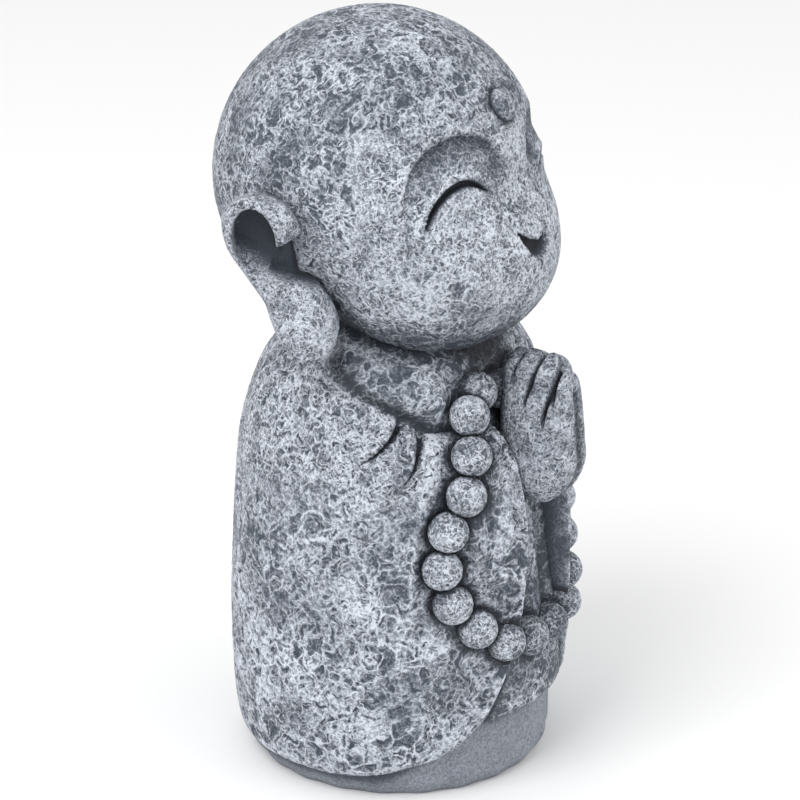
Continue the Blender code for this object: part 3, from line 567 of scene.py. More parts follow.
def build_head(sizes):
    """The head: a cube ball whose points crowd towards the face, carried out to the reach of each ray."""
    direction, quads = cube_ball(sizes.head_cells)
    direction = direction + 0.22 * head_direction(math.radians(20), 0.05)
    direction /= np.linalg.norm(direction, axis=1)[:, None]
    turn, rise, _ = on_head(HEAD_CENTRE + direction)
    hollow = brow_hollow(turn, rise)
    slit, from_slit = eye_slit(turn, rise)
    mouth = mouth_wedge(turn, rise)
    reach = head_reach(turn, rise) - BROW_DEPTH * hollow - EYE_DEPTH * slit - MOUTH_DEPTH * mouth
    reach += 0.14 * MM * bump(from_slit - 1.0 * MM, 0.4 * MM)
    points = HEAD_CENTRE + direction * reach[:, None]
    side, up = np.degrees(np.abs(turn)), np.degrees(rise)
    face = (1 - step(side, 50, 78)) * (1 - step(up, 18, 34)) * (1 - 0.7 * step(-up, 26, 40))
    near_eye = np.clip(bump(side - 27, 22) * bump(up - 6, 17) * 1.3, 0.0, 1.0)
    # The underside of the head, which is painted darker as shade.
    under = step(-up, 26, 52)
    canal, ridge = ear_canal(side, up), ear_ridge(side, up)
    calm = np.clip(1 - 0.45 * hollow - 0.6 * bump(from_slit, 0.9 * MM) - 1.5 * mouth - 0.6 * canal, 0.1, 1.0)
    height = sizes.ridge_height * (0.95 - 0.35 * face - 0.20 * near_eye) * calm
    # Painted shade: the eye's slit, the mouth, the underside of the head, the brow hollows and the ear's canal are
    # painted darker, and so are the rim round the urna, the sides of the nose's bridge and the gaps between the ears
    # and the jaw. The rims beside the slit and the ridges before the ears take more pale paint.
    cover = 0.44 + 0.12 * face - 0.30 * np.clip(hollow, 0.0, 1.0) - 0.9 * slit - 1.0 * mouth - 0.30 * under
    cover += 0.05 * bump(from_slit - 1.1 * MM, 0.5 * MM) + 0.15 * ridge - 0.36 * canal
    from_urna = np.hypot(side, (up - URNA_RISE) * 0.98) * math.pi / 180 * HEAD_RADIUS - URNA_RADIUS
    cover -= 0.4 * near(from_urna, 0.6 * MM)
    cover -= 0.20 * bump(side - 14, 5) * bump(up - 8, 8) + 0.22 * bump(side - 93, 9) * bump(up + 14, 20)
    cover -= 0.25 * bump(side - np.interp(up, (-56, -45, -38, -31), (71, 73.5, 82, 90)), 7) * step(-up, 28, 36)
    coarse = bump(side - 40, 24) * bump(up + 26, 13)
    fine = np.clip(0.85 * face * (1 - 0.8 * coarse) + 0.5 * near_eye, 0.0, 1.0)
    add_piece("head", points, quads, height, cover, "head", step(fine, 0.25, 0.75))
    build_urna()


def build_urna():
    """The dot on the forehead: a ball flattened against the head."""
    ball, quads = cube_ball(16)
    outward = head_direction(0.0, math.radians(URNA_RISE))
    start = HEAD_CENTRE + outward * head_reach(np.zeros(1), np.full(1, math.radians(URNA_RISE)))[0]
    flatter = ball - outward * (ball @ outward)[:, None] * (1 - URNA_HEIGHT / URNA_RADIUS)
    points = start + flatter * URNA_RADIUS
    # Painted shade where the urna meets the head.
    cover = 0.50 - 0.5 * bump(above_head(points), 0.45 * MM)
    add_piece("urna", points, quads, np.full(len(ball), 0.10 * MM), cover, "bead")


# Ears. The ear is drawn on a plane that faces out and forward, in millimetres behind its middle line and
# up from the lobe's foot.
EAR_HEIGHT = 22.8 * MM
EAR_THICKNESS = 2.6 * MM
EAR_STATIONS = (0.0, 0.05, 0.13, 0.25, 0.35, 0.44, 0.54, 0.69, 0.80, 0.89, 0.96, 1.0)
EAR_BACK_EDGE = (-1.9, -0.6, 0.7, 1.8, 2.5, 3.8, 5.3, 7.4, 8.0, 7.9, 6.7, 5.0)
EAR_FRONT_EDGE = (-4.9, -6.2, -7.1, -7.3, -6.4, -4.9, -3.4, -2.6, -2.4, -1.5, 0.4, 2.6)
EAR_FACING = np.array([-0.85, -0.53, 0.0])
EAR_BEHIND = np.array([-0.53, 0.85, 0.0])
EAR_FOOT = HEAD_CENTRE + np.array([-24.0, -0.2, -20.6]) * MM
EAR_EDGE = 1.3 * MM
BOWL_DEPTH = 3.6 * MM


def ear_lift(behind, up, front, back):
    """The ear's outer face over its plane: edges rolled on a quarter circle, a plump lobe at the foot, and a
    tilted oval bowl that a channel opens to the front under the rim's root. Lengths in metres."""
    inset = np.minimum(np.minimum(behind - front, back - behind), EAR_HEIGHT - up)
    roll = np.sqrt(np.clip(1 - (1 - np.clip(inset / EAR_EDGE, 0.0, 1.0)) ** 2, 0.0, 1.0))
    b, u = behind / MM, up / MM
    tilt = math.radians(10)
    across = ((b - 3.75) * math.cos(tilt) - (u - 16.8) * math.sin(tilt)) / 3.0
    along = ((b - 3.75) * math.sin(tilt) + (u - 16.8) * math.cos(tilt)) / 4.8
    from_middle = np.hypot(across, along)
    bowl = (1 - step(from_middle, 0.80, 1.02)) * (0.38 + 0.62 * step(u - 0.55 * (b - 3.0), 12.6, 16.0))
    opening = 2.0 + 0.42 * np.maximum(0.4 - b, -1.0)
    channel = (1 - step(np.abs(u - 14.1 + 0.10 * b) - opening, -0.4, 0.5)) * step(-b, -2.6, -1.0)
    lobe = 1.9 * bump(np.hypot(b + 3.3, (u - 4.6) * 0.85), 3.7)
    rim = 0.5 * bump(from_middle - 1.28, 0.24) * step(u, 11.5, 14.0)
    edge = 0.35 * bump((back - behind) / MM - 0.8, 0.6) * step(-u, -12.0, -9.0)
    hollow = np.maximum(bowl, channel)
    return EAR_THICKNESS * (0.2 + 0.8 * roll) + MM * (lobe + rim + edge) * roll - BOWL_DEPTH * hollow, hollow


def build_ears(sizes):
    """Both ears: rings round the outline, each over the outer face from front to back and home inside."""
    up = np.linspace(0.012, 0.994, sizes.ear_rows)[:, None] * EAR_HEIGHT
    over = -np.cos(np.linspace(0.02, math.pi - 0.02, sizes.ear_rows))[None, :]
    front = through(up / EAR_HEIGHT, EAR_STATIONS, EAR_FRONT_EDGE) * MM
    back = through(up / EAR_HEIGHT, EAR_STATIONS, EAR_BACK_EDGE) * MM
    behind = front + (back - front) * (over + 1) / 2
    lift, hollow = ear_lift(behind, up + 0 * behind, front, back)
    inner = np.array([[0.90, 0.5, 0.0, -0.5, -0.90]])
    inner_behind = front + (back - front) * (inner + 1) / 2
    inner_lift = -MM * (0.9 + 3.3 * step(-inner, -0.7, 0.2)) * (0.5 + 0.5 * np.sin(math.pi * up / EAR_HEIGHT))
    behind, lift = np.hstack([behind, inner_behind]), np.hstack([lift, inner_lift])
    hollow = np.hstack([hollow, np.zeros_like(inner_lift)])
    points = EAR_FOOT + behind[..., None] * EAR_BEHIND + lift[..., None] * EAR_FACING
    points[..., 2] += up
    for name, side in (("ear_right", 1), ("ear_left", -1)):
        sided, faces = closed_grid(points * [side, 1, 1])
        # Painted shade in the ear's bowl and channel, and where the ear meets the head.
        shade = with_hubs(hollow, 0.0, 0.0)
        cover = 0.54 - 0.34 * shade - 0.4 * near(above_head(sided), 0.8 * MM)
        add_piece(name, sided, faces, sizes.ridge_height * 0.45 * (1 - 0.8 * shade), cover, "ear")


# Body plan. An angle of 0 faces forward and a quarter turn is one side. PLAN_STATIONS are shares of
# BODY_HEIGHT, and the rows of shares under them are of the half width, the front and the back.
ROBE_HALF_WIDTH = 23.2 * MM
ROBE_FRONT = 24.6 * MM
ROBE_BACK = 23.5 * MM
SLEEVE_HALF_WIDTH = 24.4 * MM
SLEEVE_FRONT = 26.6 * MM
SLEEVE_BACK = 23.7 * MM
SLEEVE_DEPTH = 5.5 * MM
SLEEVE_ROUNDING = 2.2 * MM
BACK_TUCK = 1.4 * MM
FRONT_FLATTENING = 2.3 * MM
# The skirt's half width, front and back, and how far and from what height it is drawn in at the foot.
SKIRT_RADII = (22.1 * MM, 22.3 * MM, 22.1 * MM)
SKIRT_INSET = 1.5 * MM
SKIRT_ROUNDING = 3.0 * MM
UNDERSIDE_INSET = 1.0 * MM
SIDE_HEM = 3.4 * MM
FRONT_HEM = 11.4 * MM
HEM_ROUNDING = 0.6 * MM
HEM_OVERHANG = 0.35 * MM
PLEATS = 22
PLEAT_DEPTH = 0.14 * MM
PLAN_STATIONS = (0.0, 0.09, 0.22, 0.45, 0.60, 0.73, 0.82, 0.89, 0.94, 1.0)
SLEEVE_SHARES = np.array((
    (0.93, 0.975, 1.0, 0.995, 0.965, 0.925, 0.86, 0.77, 0.64, 0.40),
    (0.91, 0.955, 0.985, 1.0, 0.985, 0.895, 0.765, 0.66, 0.56, 0.40),
    (0.92, 0.985, 1.01, 1.0, 0.975, 0.935, 0.86, 0.765, 0.65, 0.44),
))
ROBE_SHARES = np.array((
    (0.96, 0.98, 1.0, 0.98, 0.94, 0.87, 0.80, 0.75, 0.68, 0.50),
    (0.95, 0.985, 0.985, 0.93, 0.87, 0.745, 0.66, 0.61, 0.54, 0.38),
    (0.95, 0.975, 0.99, 0.98, 0.96, 0.915, 0.845, 0.76, 0.67, 0.50),
))


def plan_point(angle, height, sizes, inset=0.0):
    """A point of an egg-shaped plan, moved in by inset: one half ellipse before the axis and one behind."""
    half_width, front, back = sizes
    depth = np.where(np.cos(angle) > 0, front, back)
    point = np.stack(np.broadcast_arrays(-half_width * np.sin(angle), -depth * np.cos(angle), height), axis=-1)
    x, y = -np.sin(angle) / half_width, -np.cos(angle) / depth
    outward = np.stack(np.broadcast_arrays(x, y, 0 * height), axis=-1) / np.hypot(x, y)[..., None]
    return point - outward * np.broadcast_to(inset, outward.shape[:-1])[..., None]


def plan_sizes(height, full, shares):
    return [size * through(height / BODY_HEIGHT, PLAN_STATIONS, row) for size, row in zip(full, shares)]


def sleeve_point(angle, height, sink=0.0):
    """A point on the outer cloth, or sink inside it. The cloth is flatter where it turns to the front."""
    sizes = plan_sizes(height, (SLEEVE_HALF_WIDTH, SLEEVE_FRONT, SLEEVE_BACK), SLEEVE_SHARES)
    share = height / BODY_HEIGHT
    dip = FRONT_FLATTENING * bump(np.abs(angle) - math.radians(42), math.radians(23))
    return plan_point(angle, height, sizes, dip * step(share, 0.0, 0.3) * step(-share, -1.0, -0.8) + sink)


def robe_point(angle, height, sink=0.0):
    """A point on the inner robe, or sink inside it."""
    sizes = plan_sizes(height, (ROBE_HALF_WIDTH, ROBE_FRONT, ROBE_BACK), ROBE_SHARES)
    return plan_point(angle, height, sizes, sink)


def cloth(places):
    """(turn in degrees, share of BODY_HEIGHT) places as lengths across and up the cloth."""
    return np.array(places) * [math.pi / 180 * SLEEVE_HALF_WIDTH, BODY_HEIGHT]


def near_line(angle, height, start, end, width):
    """A bell curve across the line over the cloth between two (turn in degrees, share of height) places."""
    return bump(path_distance(angle * SLEEVE_HALF_WIDTH, height, cloth((start, end)))[0], width)


def hem_height(angle):
    """The inner robe's hem: low at the sides and back, lifted in front."""
    return SIDE_HEM + (FRONT_HEM - SIDE_HEM) * step(np.cos(angle), 0.35, 0.95)


def robe_relief(angle, height):
    """How far the robe's carving stands out: a rounded fold on each side of the chest, crossed collar bands
    and the front fold."""
    side, share = np.abs(np.arctan2(np.sin(angle), np.cos(angle))), height / BODY_HEIGHT
    chest = 3.3 * MM * near_line(side, height, (84, 0.925), (40, 0.865), 3.5 * MM)
    collar_line = np.abs(side - math.radians(18) * (1 + 6 * (share - 0.86)))
    collar = 0.7 * MM * bump(collar_line, 0.16) * step(share, 0.70, 0.80) * step(-share, -0.99, -0.95)
    return chest + collar - 1.0 * MM * front_fold(side, share)


def front_fold(side, share):
    """The groove of the fold on each side of the robe's front, from 0 to 1."""
    return bump(side - math.radians(7), 0.05) * step(-share, -0.72, -0.60) * step(share, 0.2, 0.34)


# Each sleeve's lower and upper lines, as (place along the sleeve, lower turn in degrees, lower height,
# upper turn, upper height), with heights as shares of BODY_HEIGHT.
SLEEVE_LINES = np.array((
    (0.00, 168.0, 0.050, 168.0, 0.955), (0.12, 142.0, 0.046, 140.0, 0.980), (0.24, 116.0, 0.046, 115.0, 0.985),
    (0.34, 95.0, 0.050, 98.0, 0.975), (0.43, 79.0, 0.050, 85.0, 0.935), (0.51, 66.0, 0.062, 75.0, 0.895),
    (0.58, 55.0, 0.083, 66.0, 0.866), (0.64, 46.0, 0.100, 58.0, 0.838), (0.70, 38.0, 0.126, 51.0, 0.812),
    (0.76, 30.5, 0.162, 45.0, 0.795), (0.83, 23.0, 0.240, 38.5, 0.788), (0.89, 17.8, 0.340, 31.5, 0.788),
    (0.95, 14.8, 0.500, 23.5, 0.795), (1.00, 14.2, 0.700, 16.6, 0.800),
))
# Creases of the elbow's crook and the lip beside the beads, as (turn in degrees, share of BODY_HEIGHT).
CREASES = (
    ((53.0, 0.840), (58.5, 0.803), (65.0, 0.770), (73.0, 0.742)),
    ((47.0, 0.812), (50.5, 0.768), (54.0, 0.728), (59.0, 0.698)),
)
CREASE_WIDTH = 1.7 * MM
CREASE_DEPTH = 1.9 * MM
LIP = ((40.0, 0.800), (43.5, 0.770), (47.5, 0.715), (52.0, 0.640), (55.5, 0.565), (55.0, 0.480), (50.0, 0.410))
LIP_HEIGHT = 0.75 * MM
TROUGH_DEPTH = 0.9 * MM


def sleeve_relief(angle, height):
    """How far the sleeve's carving stands out: folds that fan from the elbow's crook with creases between
    them, the swell of the forearm, the trough for the beads and the lip on the trough's outer side."""
    across = angle * SLEEVE_HALF_WIDTH
    folds = 0.9 * MM * near_line(angle, height, (62, 0.81), (82, 0.76), 3.0 * MM)
    folds += 0.9 * MM * near_line(angle, height, (52, 0.765), (64, 0.70), 2.2 * MM)
    forearm = 0.8 * MM * near_line(angle, height, (30, 0.70), (36, 0.50), 3.2 * MM)
    trough = -TROUGH_DEPTH * bump(bead_line_distance(angle, height), 2.9 * MM)
    from_lip, place = path_distance(across, height, smooth_path(cloth(LIP), 24))
    lip = LIP_HEIGHT * bump(from_lip, 1.1 * MM) * np.sin(math.pi * np.clip(place + 0.12, 0.0, 1.0)) ** 0.5
    crease = 0.0 * angle
    for path in CREASES:
        distance, place = path_distance(across, height, smooth_path(cloth(path), 20))
        half = 0.5 * CREASE_WIDTH * (1.05 - place)
        crease = np.maximum(crease, (1 - step(distance, 0.2 * half, 1.6 * half)) * (1 - place) ** 0.5)
    return folds + forearm + trough + lip - CREASE_DEPTH * crease, crease, lip / LIP_HEIGHT


# The beads' route down one side, as (turn in degrees, share of BODY_HEIGHT, millimetres off the cloth).
BEAD_ROUTE = (
    (0, 0.842, -2.2), (10, 0.845, -2.2), (18, 0.857, -1.2), (23.5, 0.862, 0.3), (27.5, 0.820, 0.9),
    (31.6, 0.750, 1.0), (36.4, 0.677, 1.0), (43.7, 0.611, 0.9), (46.5, 0.537, 0.7), (43.5, 0.459, 0.6),
    (35.0, 0.395, 0.3), (24.0, 0.348, -0.6), (13.5, 0.330, -1.8), (5.5, 0.325, -2.4), (0, 0.325, -2.5),
)


def bead_line():
    """Points close together along half the string, from behind the hands down the right side, as turn,
    height and distance off the cloth."""
    return smooth_path(np.array(BEAD_ROUTE) * [math.pi / 180, BODY_HEIGHT, MM], 240)


def bead_line_distance(angle, height):
    """The distance over the cloth from a point to the beads' line on the same side."""
    path = bead_line()[::6, :2] * [SLEEVE_HALF_WIDTH, 1.0]
    return path_distance(angle * SLEEVE_HALF_WIDTH, height, path)[0]


def bead_centres(spacing):
    """Evenly spaced places along the whole string."""
    half = bead_line()
    line = np.concatenate([half, half[::-1][1:-1] * [-1.0, 1.0, 1.0]])
    points = sleeve_point(line[:, 0], line[:, 1], -line[:, 2])
    loop = np.vstack([points, points[:1]])
    run = np.concatenate([[0.0], np.cumsum(np.linalg.norm(np.diff(loop, axis=0), axis=1))])
    count = int(round(run[-1] / spacing))
    wanted = run[-1] * np.arange(count) / count
    return np.stack([np.interp(wanted, run, loop[:, k]) for k in range(3)], axis=-1)


def beside_beads(points, sizes):
    """1 where a surface touches a bead, falling to 0 a millimetre or two away."""
    gap = np.full(len(points), np.inf)
    for centre in bead_centres(sizes.bead_spacing):
        gap = np.minimum(gap, np.linalg.norm(points - centre, axis=1))
    return near(gap - 0.5 * sizes.bead_diameter, 1.0 * MM)


def flat_place(points):
    """Turn about the figure's axis on the egg-shaped plan, always positive, and height."""
    depth = np.where(points[:, 1] < 0, SLEEVE_FRONT, SLEEVE_BACK)
    return np.arctan2(np.abs(points[:, 0]) / SLEEVE_HALF_WIDTH, -points[:, 1] / depth), points[:, 2]


def build_robe(sizes):
    """The robe's body and, under its hem, the pleated skirt that the figurine stands on: rings round the
    plan, closer together in front, where the sleeves leave the robe bare."""
    share = np.linspace(-1, 1, sizes.robe_columns, endpoint=False)
    angle = math.pi * (0.52 * share + 0.48 * share**3)
    hem = hem_height(angle)
    pleat = PLEAT_DEPTH * np.cos(PLEATS * angle)
    rings = []
    for part in np.concatenate([[0.0], np.linspace(0.0, 1.0, 24) ** 1.4]):
        height = part * (hem - HEM_OVERHANG)
        inset = SKIRT_INSET * (1 - np.clip(height / SKIRT_ROUNDING, 0.0, 1.0)) ** 2 + UNDERSIDE_INSET * (not rings)
        rings.append(plan_point(angle, height, SKIRT_RADII, inset - pleat))
    skirt_rows = len(rings)
    rings.append(robe_point(angle, hem, 0.5 * HEM_ROUNDING))
    for part in np.linspace(0.0, 1.0, sizes.robe_rows):
        height = hem + HEM_ROUNDING + part * (BODY_HEIGHT - hem - HEM_ROUNDING)
        rings.append(robe_point(angle, height, -robe_relief(angle, height)))
    points, faces = closed_grid(np.array(rings))
    turn, height = flat_place(points)
    on_skirt = np.arange(len(points)) < skirt_rows * len(angle)
    across = turn * SLEEVE_HALF_WIDTH
    edge = np.vstack([SLEEVE_LINES[4:, 1:3], SLEEVE_LINES[4:, 3:][::-1]])
    from_sleeve = path_distance(across, height, cloth(edge))[0]
    from_hem = np.abs(height - hem_height(turn))
    # Painted shade along the sleeves' edges, under the head, beside the beads, behind the hands and in the front
    # folds, and on the skirt just under the hem. The robe takes more pale paint on the chest and just above the hem.
    crease = np.maximum(bump(from_sleeve, 1.3 * MM), near(above_head(points), 2.0 * MM))
    crease = np.maximum(crease, 0.8 * beside_beads(points, sizes))
    behind_hands = bump(points[:, 0], 5 * MM) * step(height, 40 * MM, 44 * MM) * (points[:, 1] < 0)
    chest = step(height / BODY_HEIGHT, 0.74, 0.8)
    cover = 0.36 + 0.10 * chest - 0.38 * crease - 0.3 * behind_hands - 0.22 * front_fold(turn, height / BODY_HEIGHT)
    cover = np.where(on_skirt, 0.71 - 0.35 * bump(from_hem, 1.2 * MM), cover)
    cover += 0.10 * bump(from_hem - 0.9 * MM, 0.7 * MM) * ~on_skirt
    calm = np.where(on_skirt, 0.04, 0.45 + 0.4 * chest) * step(height, 0.0, 1.5 * MM)
    add_piece("robe", points, faces, sizes.ridge_height * calm, cover, "robe")


def build_sleeves(sizes):
    """Both sleeves: flattened tubes from the back crease to the cuff. Each ring goes up the outer cloth,
    over the upper edge, down inside the robe and round the lower edge."""
    stations = np.linspace(0.0, 1.0, sizes.sleeve_columns) ** 0.92
    lines = through(stations, SLEEVE_LINES[:, 0], SLEEVE_LINES[:, 1:])
    lower, upper = lines[:, None, :2], lines[:, None, 2:]
    share = 0.5 - 0.5 * np.cos(np.linspace(0.05, math.pi - 0.05, sizes.sleeve_rows))
    share = (0.35 * share + 0.65 * np.linspace(0.0, 1.0, sizes.sleeve_rows))[None, :]
    place = lower + (upper - lower) * share[..., None]
    angle, height = np.radians(place[..., 0]), place[..., 1] * BODY_HEIGHT
    width = (upper[..., 1] - lower[..., 1]) * BODY_HEIGHT
    to_top, to_foot = (1 - share) * width, share * width
    top_turn = SLEEVE_ROUNDING * (1 - np.sqrt(step(to_top, -0.6 * MM, SLEEVE_ROUNDING)))
    foot_turn = 0.45 * MM * bump(to_foot, 0.5 * MM)
    fade = step(to_foot, 0.0, 2.0 * MM) * step(to_top, -0.6 * MM, 1.0 * MM)
    relief, crease, lip = sleeve_relief(angle, height)
    outer = sleeve_point(angle, height, top_turn + foot_turn - fade * relief)
    inner_share = np.array([[0.97, 0.75, 0.50, 0.25, 0.01]])
    inner_place = lower + (upper - lower) * inner_share[..., None]
    inner = sleeve_point(np.radians(inner_place[..., 0]), inner_place[..., 1] * BODY_HEIGHT,
                         SLEEVE_DEPTH + SLEEVE_ROUNDING * inner_share + 0 * inner_place[..., 0])
    points = np.concatenate([outer, inner], axis=1)
    inward = points[0] * [-1.0, -1.0, 0.0]
    points[0] += inward / np.linalg.norm(inward, axis=1)[:, None] * BACK_TUCK
    edge = np.maximum(bump(to_foot - 0.8 * MM, 1.0 * MM), bump(to_top - 0.9 * MM, 1.0 * MM))
    # Painted shade in the creases; the edges and the lip beside the beads take more pale paint.
    paint = 0.50 + 0.10 * edge + 0.14 * lip - 0.75 * crease
    strength = (0.25 + 0.75 * step(np.minimum(to_foot, to_top), 0.2 * MM, 1.6 * MM)) * (1 - 0.7 * crease)
    paint = with_hubs(np.hstack([paint, np.full(inner.shape[:2], 0.2)]), 0.2, 0.2)
    strength = with_hubs(np.hstack([strength, np.zeros(inner.shape[:2])]), 0.0, 0.0)
    for name, side in (("sleeve_right", 1), ("sleeve_left", -1)):
        sided, faces = closed_grid(points * [side, 1, 1])
        turn, height = flat_place(sided)
        front = 1 - step(turn, math.radians(30), math.radians(48))
        # Painted shade beside the beads, under the head and along the beads' trough, and a little darker at the
        # front.
        cover = paint - 0.55 * np.maximum(beside_beads(sided, sizes), near(above_head(sided), 2.2 * MM))
        cover -= 0.10 * bump(bead_line_distance(turn, height), 3.2 * MM) + 0.06 * front
        relief = 1.5 * sizes.ridge_height * strength * (1 - 0.35 * front)
        add_piece(name, sided, faces, relief, cover, "robe", step(height, 41 * MM, 49 * MM))


def build_beads(sizes):
    """The string of prayer beads: one small cube ball for each, pitted, with a waist where it meets the next."""
    ball, quads = cube_ball(sizes.bead_cells)
    centres = bead_centres(sizes.bead_spacing)
    points = centres[:, None, :] + ball[None] * 0.5 * sizes.bead_diameter
    faces = quads[None] + (np.arange(len(centres)) * len(ball))[:, None, None]
    flat = points.reshape(-1, 3)
    gap = np.minimum(*(np.linalg.norm(points - np.roll(centres, k, axis=0)[:, None], axis=2) for k in (1, -1)))
    # Painted shade where the beads touch each other and where they sink into the cloth, less of it at the front.
    touch = near(gap.ravel() - 0.5 * sizes.bead_diameter, 0.55 * MM)
    turn, height = flat_place(flat)
    surface = sleeve_point(turn, height)
    sunk = near(np.hypot(flat[:, 0], flat[:, 1]) - np.hypot(surface[:, 0], surface[:, 1]), 0.8 * MM)
    at_front = 1 - step(turn, math.radians(22), math.radians(34))
    cover = 0.52 - 0.5 * touch - 0.45 * sunk * (1 - 0.7 * at_front)
    add_piece("beads", flat, faces.reshape(-1, 4), np.full(len(flat), 0.13 * MM), cover, "bead")


# Hands. One mitten of two palms pressed together. The side view is a tall leaf, and grooves part the
# fingers on each outer face. HAND_STATIONS are shares of HANDS_HEIGHT, and HAND_LEAN is in millimetres back.
HANDS_HEIGHT = 21.4 * MM
HANDS_HALF_WIDTH = 5.0 * MM
HANDS_HALF_DEPTH = 5.8 * MM
HANDS_Y = -23.7 * MM
HANDS_FOOT = 42.5 * MM
HAND_STATIONS = (0.0, 0.10, 0.25, 0.45, 0.62, 0.78, 0.90, 1.0)
HAND_DEPTH_SHARES = (0.34, 0.68, 0.93, 1.0, 1.0, 0.98, 0.95, 0.88)
HAND_WIDTH_SHARES = (0.45, 0.80, 1.0, 0.98, 0.92, 0.84, 0.74, 0.66)
HAND_LEAN = (0.0, -0.4, -0.5, -0.1, 0.1, 0.2, 0.3, 0.3)
# Grooves as (place from the front edge at -1 to the back at 1, its move to the back at the foot of the
# groove, where it starts up the hand, strength).
FINGER_GROOVES = ((-0.66, 0.24, 0.58, 1.0), (-0.14, 0.20, 0.68, 0.85), (0.42, 0.06, 0.84, 0.7))
# The fingertips' level over that line of places, in millimetres above HANDS_HEIGHT.
TIP_PLACES = (-1.0, -0.93, -0.83, -0.73, -0.66, -0.58, -0.48, -0.36, -0.22, -0.14,
              -0.05, 0.08, 0.24, 0.36, 0.42, 0.50, 0.64, 0.80, 0.92, 1.0)
TIP_LEVELS = (-4.4, -2.6, -1.9, -2.2, -3.0, -1.1, -0.2, 0.0, -0.3, -0.9,
              -0.3, 0.0, 0.1, -0.1, -0.7, -0.2, 0.0, -0.4, -1.4, -3.2)


def build_hands(sizes):
    """The hands: rings up the leaf, each a rounded oval from the front seam past the right side to the back
    and home on the left, cut by grooves that narrow downwards, with a rounded tip on every finger."""
    around = np.linspace(0.0, 4.0, sizes.hand_columns, endpoint=False)[None, :]
    share = (1 - (1 - np.linspace(0.0, 1.0, sizes.hand_rows)) ** 1.3)[:, None]
    quarter = around * math.pi / 2
    fore = -np.cos(quarter)
    depth = HANDS_HALF_DEPTH * through(share, HAND_STATIONS, HAND_DEPTH_SHARES)
    width = HANDS_HALF_WIDTH * through(share, HAND_STATIONS, HAND_WIDTH_SHARES)
    width = width * np.sqrt(np.maximum(1 - step(share, 0.86, 1.0) ** 2, 0.004))
    lean = MM * through(share, HAND_STATIONS, HAND_LEAN)
    groove = 0.0 * around * share
    for middle, drift, start, strength in FINGER_GROOVES:
        place = middle + drift * step(-share, -0.95, -start)
        narrow = 0.030 + 0.022 * share
        groove = np.maximum(groove, strength * bump(fore - place, narrow) * step(share, start - 0.06, start + 0.08))
    seam = bump(np.sin(quarter), 0.12)
    x = -np.sign(np.sin(quarter)) * np.abs(np.sin(quarter)) ** 0.8 * width * (1 - 0.34 * groove)
    y = HANDS_Y + lean + fore * depth * (1 - 0.06 * seam)
    z = HANDS_FOOT + HANDS_HEIGHT * share + MM * through(fore, TIP_PLACES, TIP_LEVELS) * step(share, 0.3, 1.0)
    points, faces = closed_grid(np.stack(np.broadcast_arrays(x, y, z), axis=-1))
    # Painted shade in the finger grooves, along the seam between the palms, on the back of the hands and beside the
    # beads.
    shade = 0.75 * groove + 0.4 * seam + 0.3 * step(fore, 0.5, 0.95)
    cover = 0.50 - with_hubs(shade, 0.0, 0.15) - 0.4 * beside_beads(points, sizes)
    height = sizes.ridge_height * 0.55 * (1 - 0.8 * with_hubs(groove, 0.0, 0.0))
    add_piece("hands", points, faces, height, cover, "hand")


# Stage
FIGURE_MIDDLE = (0.0, -0.4 * MM, 52.3 * MM)
LIGHT_DISTANCE = 0.9


def view_direction(azimuth, elevation):
    """The unit vector from the figure towards a viewer at that azimuth and elevation in degrees."""
    a, e = math.radians(azimuth), math.radians(elevation)
    return Vector((math.sin(a) * math.cos(e), -math.cos(a) * math.cos(e), math.sin(e)))


def aim(thing, azimuth, elevation, distance):
    """Stands a light or camera off the figure's middle and turns it to face that middle."""
    away = view_direction(azimuth, elevation)
    thing.location = Vector(FIGURE_MIDDLE) + away * distance
    thing.rotation_euler = away.to_track_quat("Z", "Y").to_euler()


def build_stage(stage):
    """A plain pale floor, a soft key light and a soft fill light, and the camera at the viewing angle."""
    scene = bpy.context.scene
    floor = bpy.data.meshes.new("floor")
    half = stage.floor_size / 2
    floor.from_pydata([(-half, -half, 0), (half, -half, 0), (half, half, 0), (-half, half, 0)], [], [(0, 1, 2, 3)])
    paper = bpy.data.materials.new("paper")
    paper.use_nodes = True
    paper.node_tree.nodes["Principled BSDF"].inputs["Base Color"].default_value = (*stage.floor_colour, 1.0)
    paper.node_tree.nodes["Principled BSDF"].inputs["Roughness"].default_value = 0.9
    floor.materials.append(paper)
    link("floor", floor)
    scene.world = bpy.data.worlds.new("studio")
    scene.world.use_nodes = True
    room = scene.world.node_tree.nodes["Background"].inputs
    room["Color"].default_value, room["Strength"].default_value = (1.0, 1.0, 1.0, 1.0), stage.room_light
    for name, turn, elevation, power, size in (
        ("key_light", -38, 52, stage.key_power, 0.5),
        ("fill_light", 62, 25, stage.fill_power, 0.6),
    ):
        light = bpy.data.lights.new(name, "AREA")
        light.energy, light.size = power, size
        aim(link(name, light), stage.azimuth + turn, elevation, LIGHT_DISTANCE)
    camera = link("camera", bpy.data.cameras.new("camera"))
    aim(camera, stage.azimuth, stage.elevation, stage.distance)
    camera.data.sensor_width = 36.0
    camera.data.lens = stage.lens
    camera.data.clip_start = 0.01
    scene.camera = camera
    scene.view_settings.view_transform = "Standard"


# Settings

def length(name, description, default):
    return FloatProperty(name=name, description=description, default=default, min=0.0, unit="LENGTH", precision=5)


def count(name, description, default):
    return IntProperty(name=name, description=description, default=default, min=4)


def colour(name, description, default):
    return FloatVectorProperty(name=name, description=description, default=default, subtype="COLOR",
                               size=3, min=0.0, max=1.0)


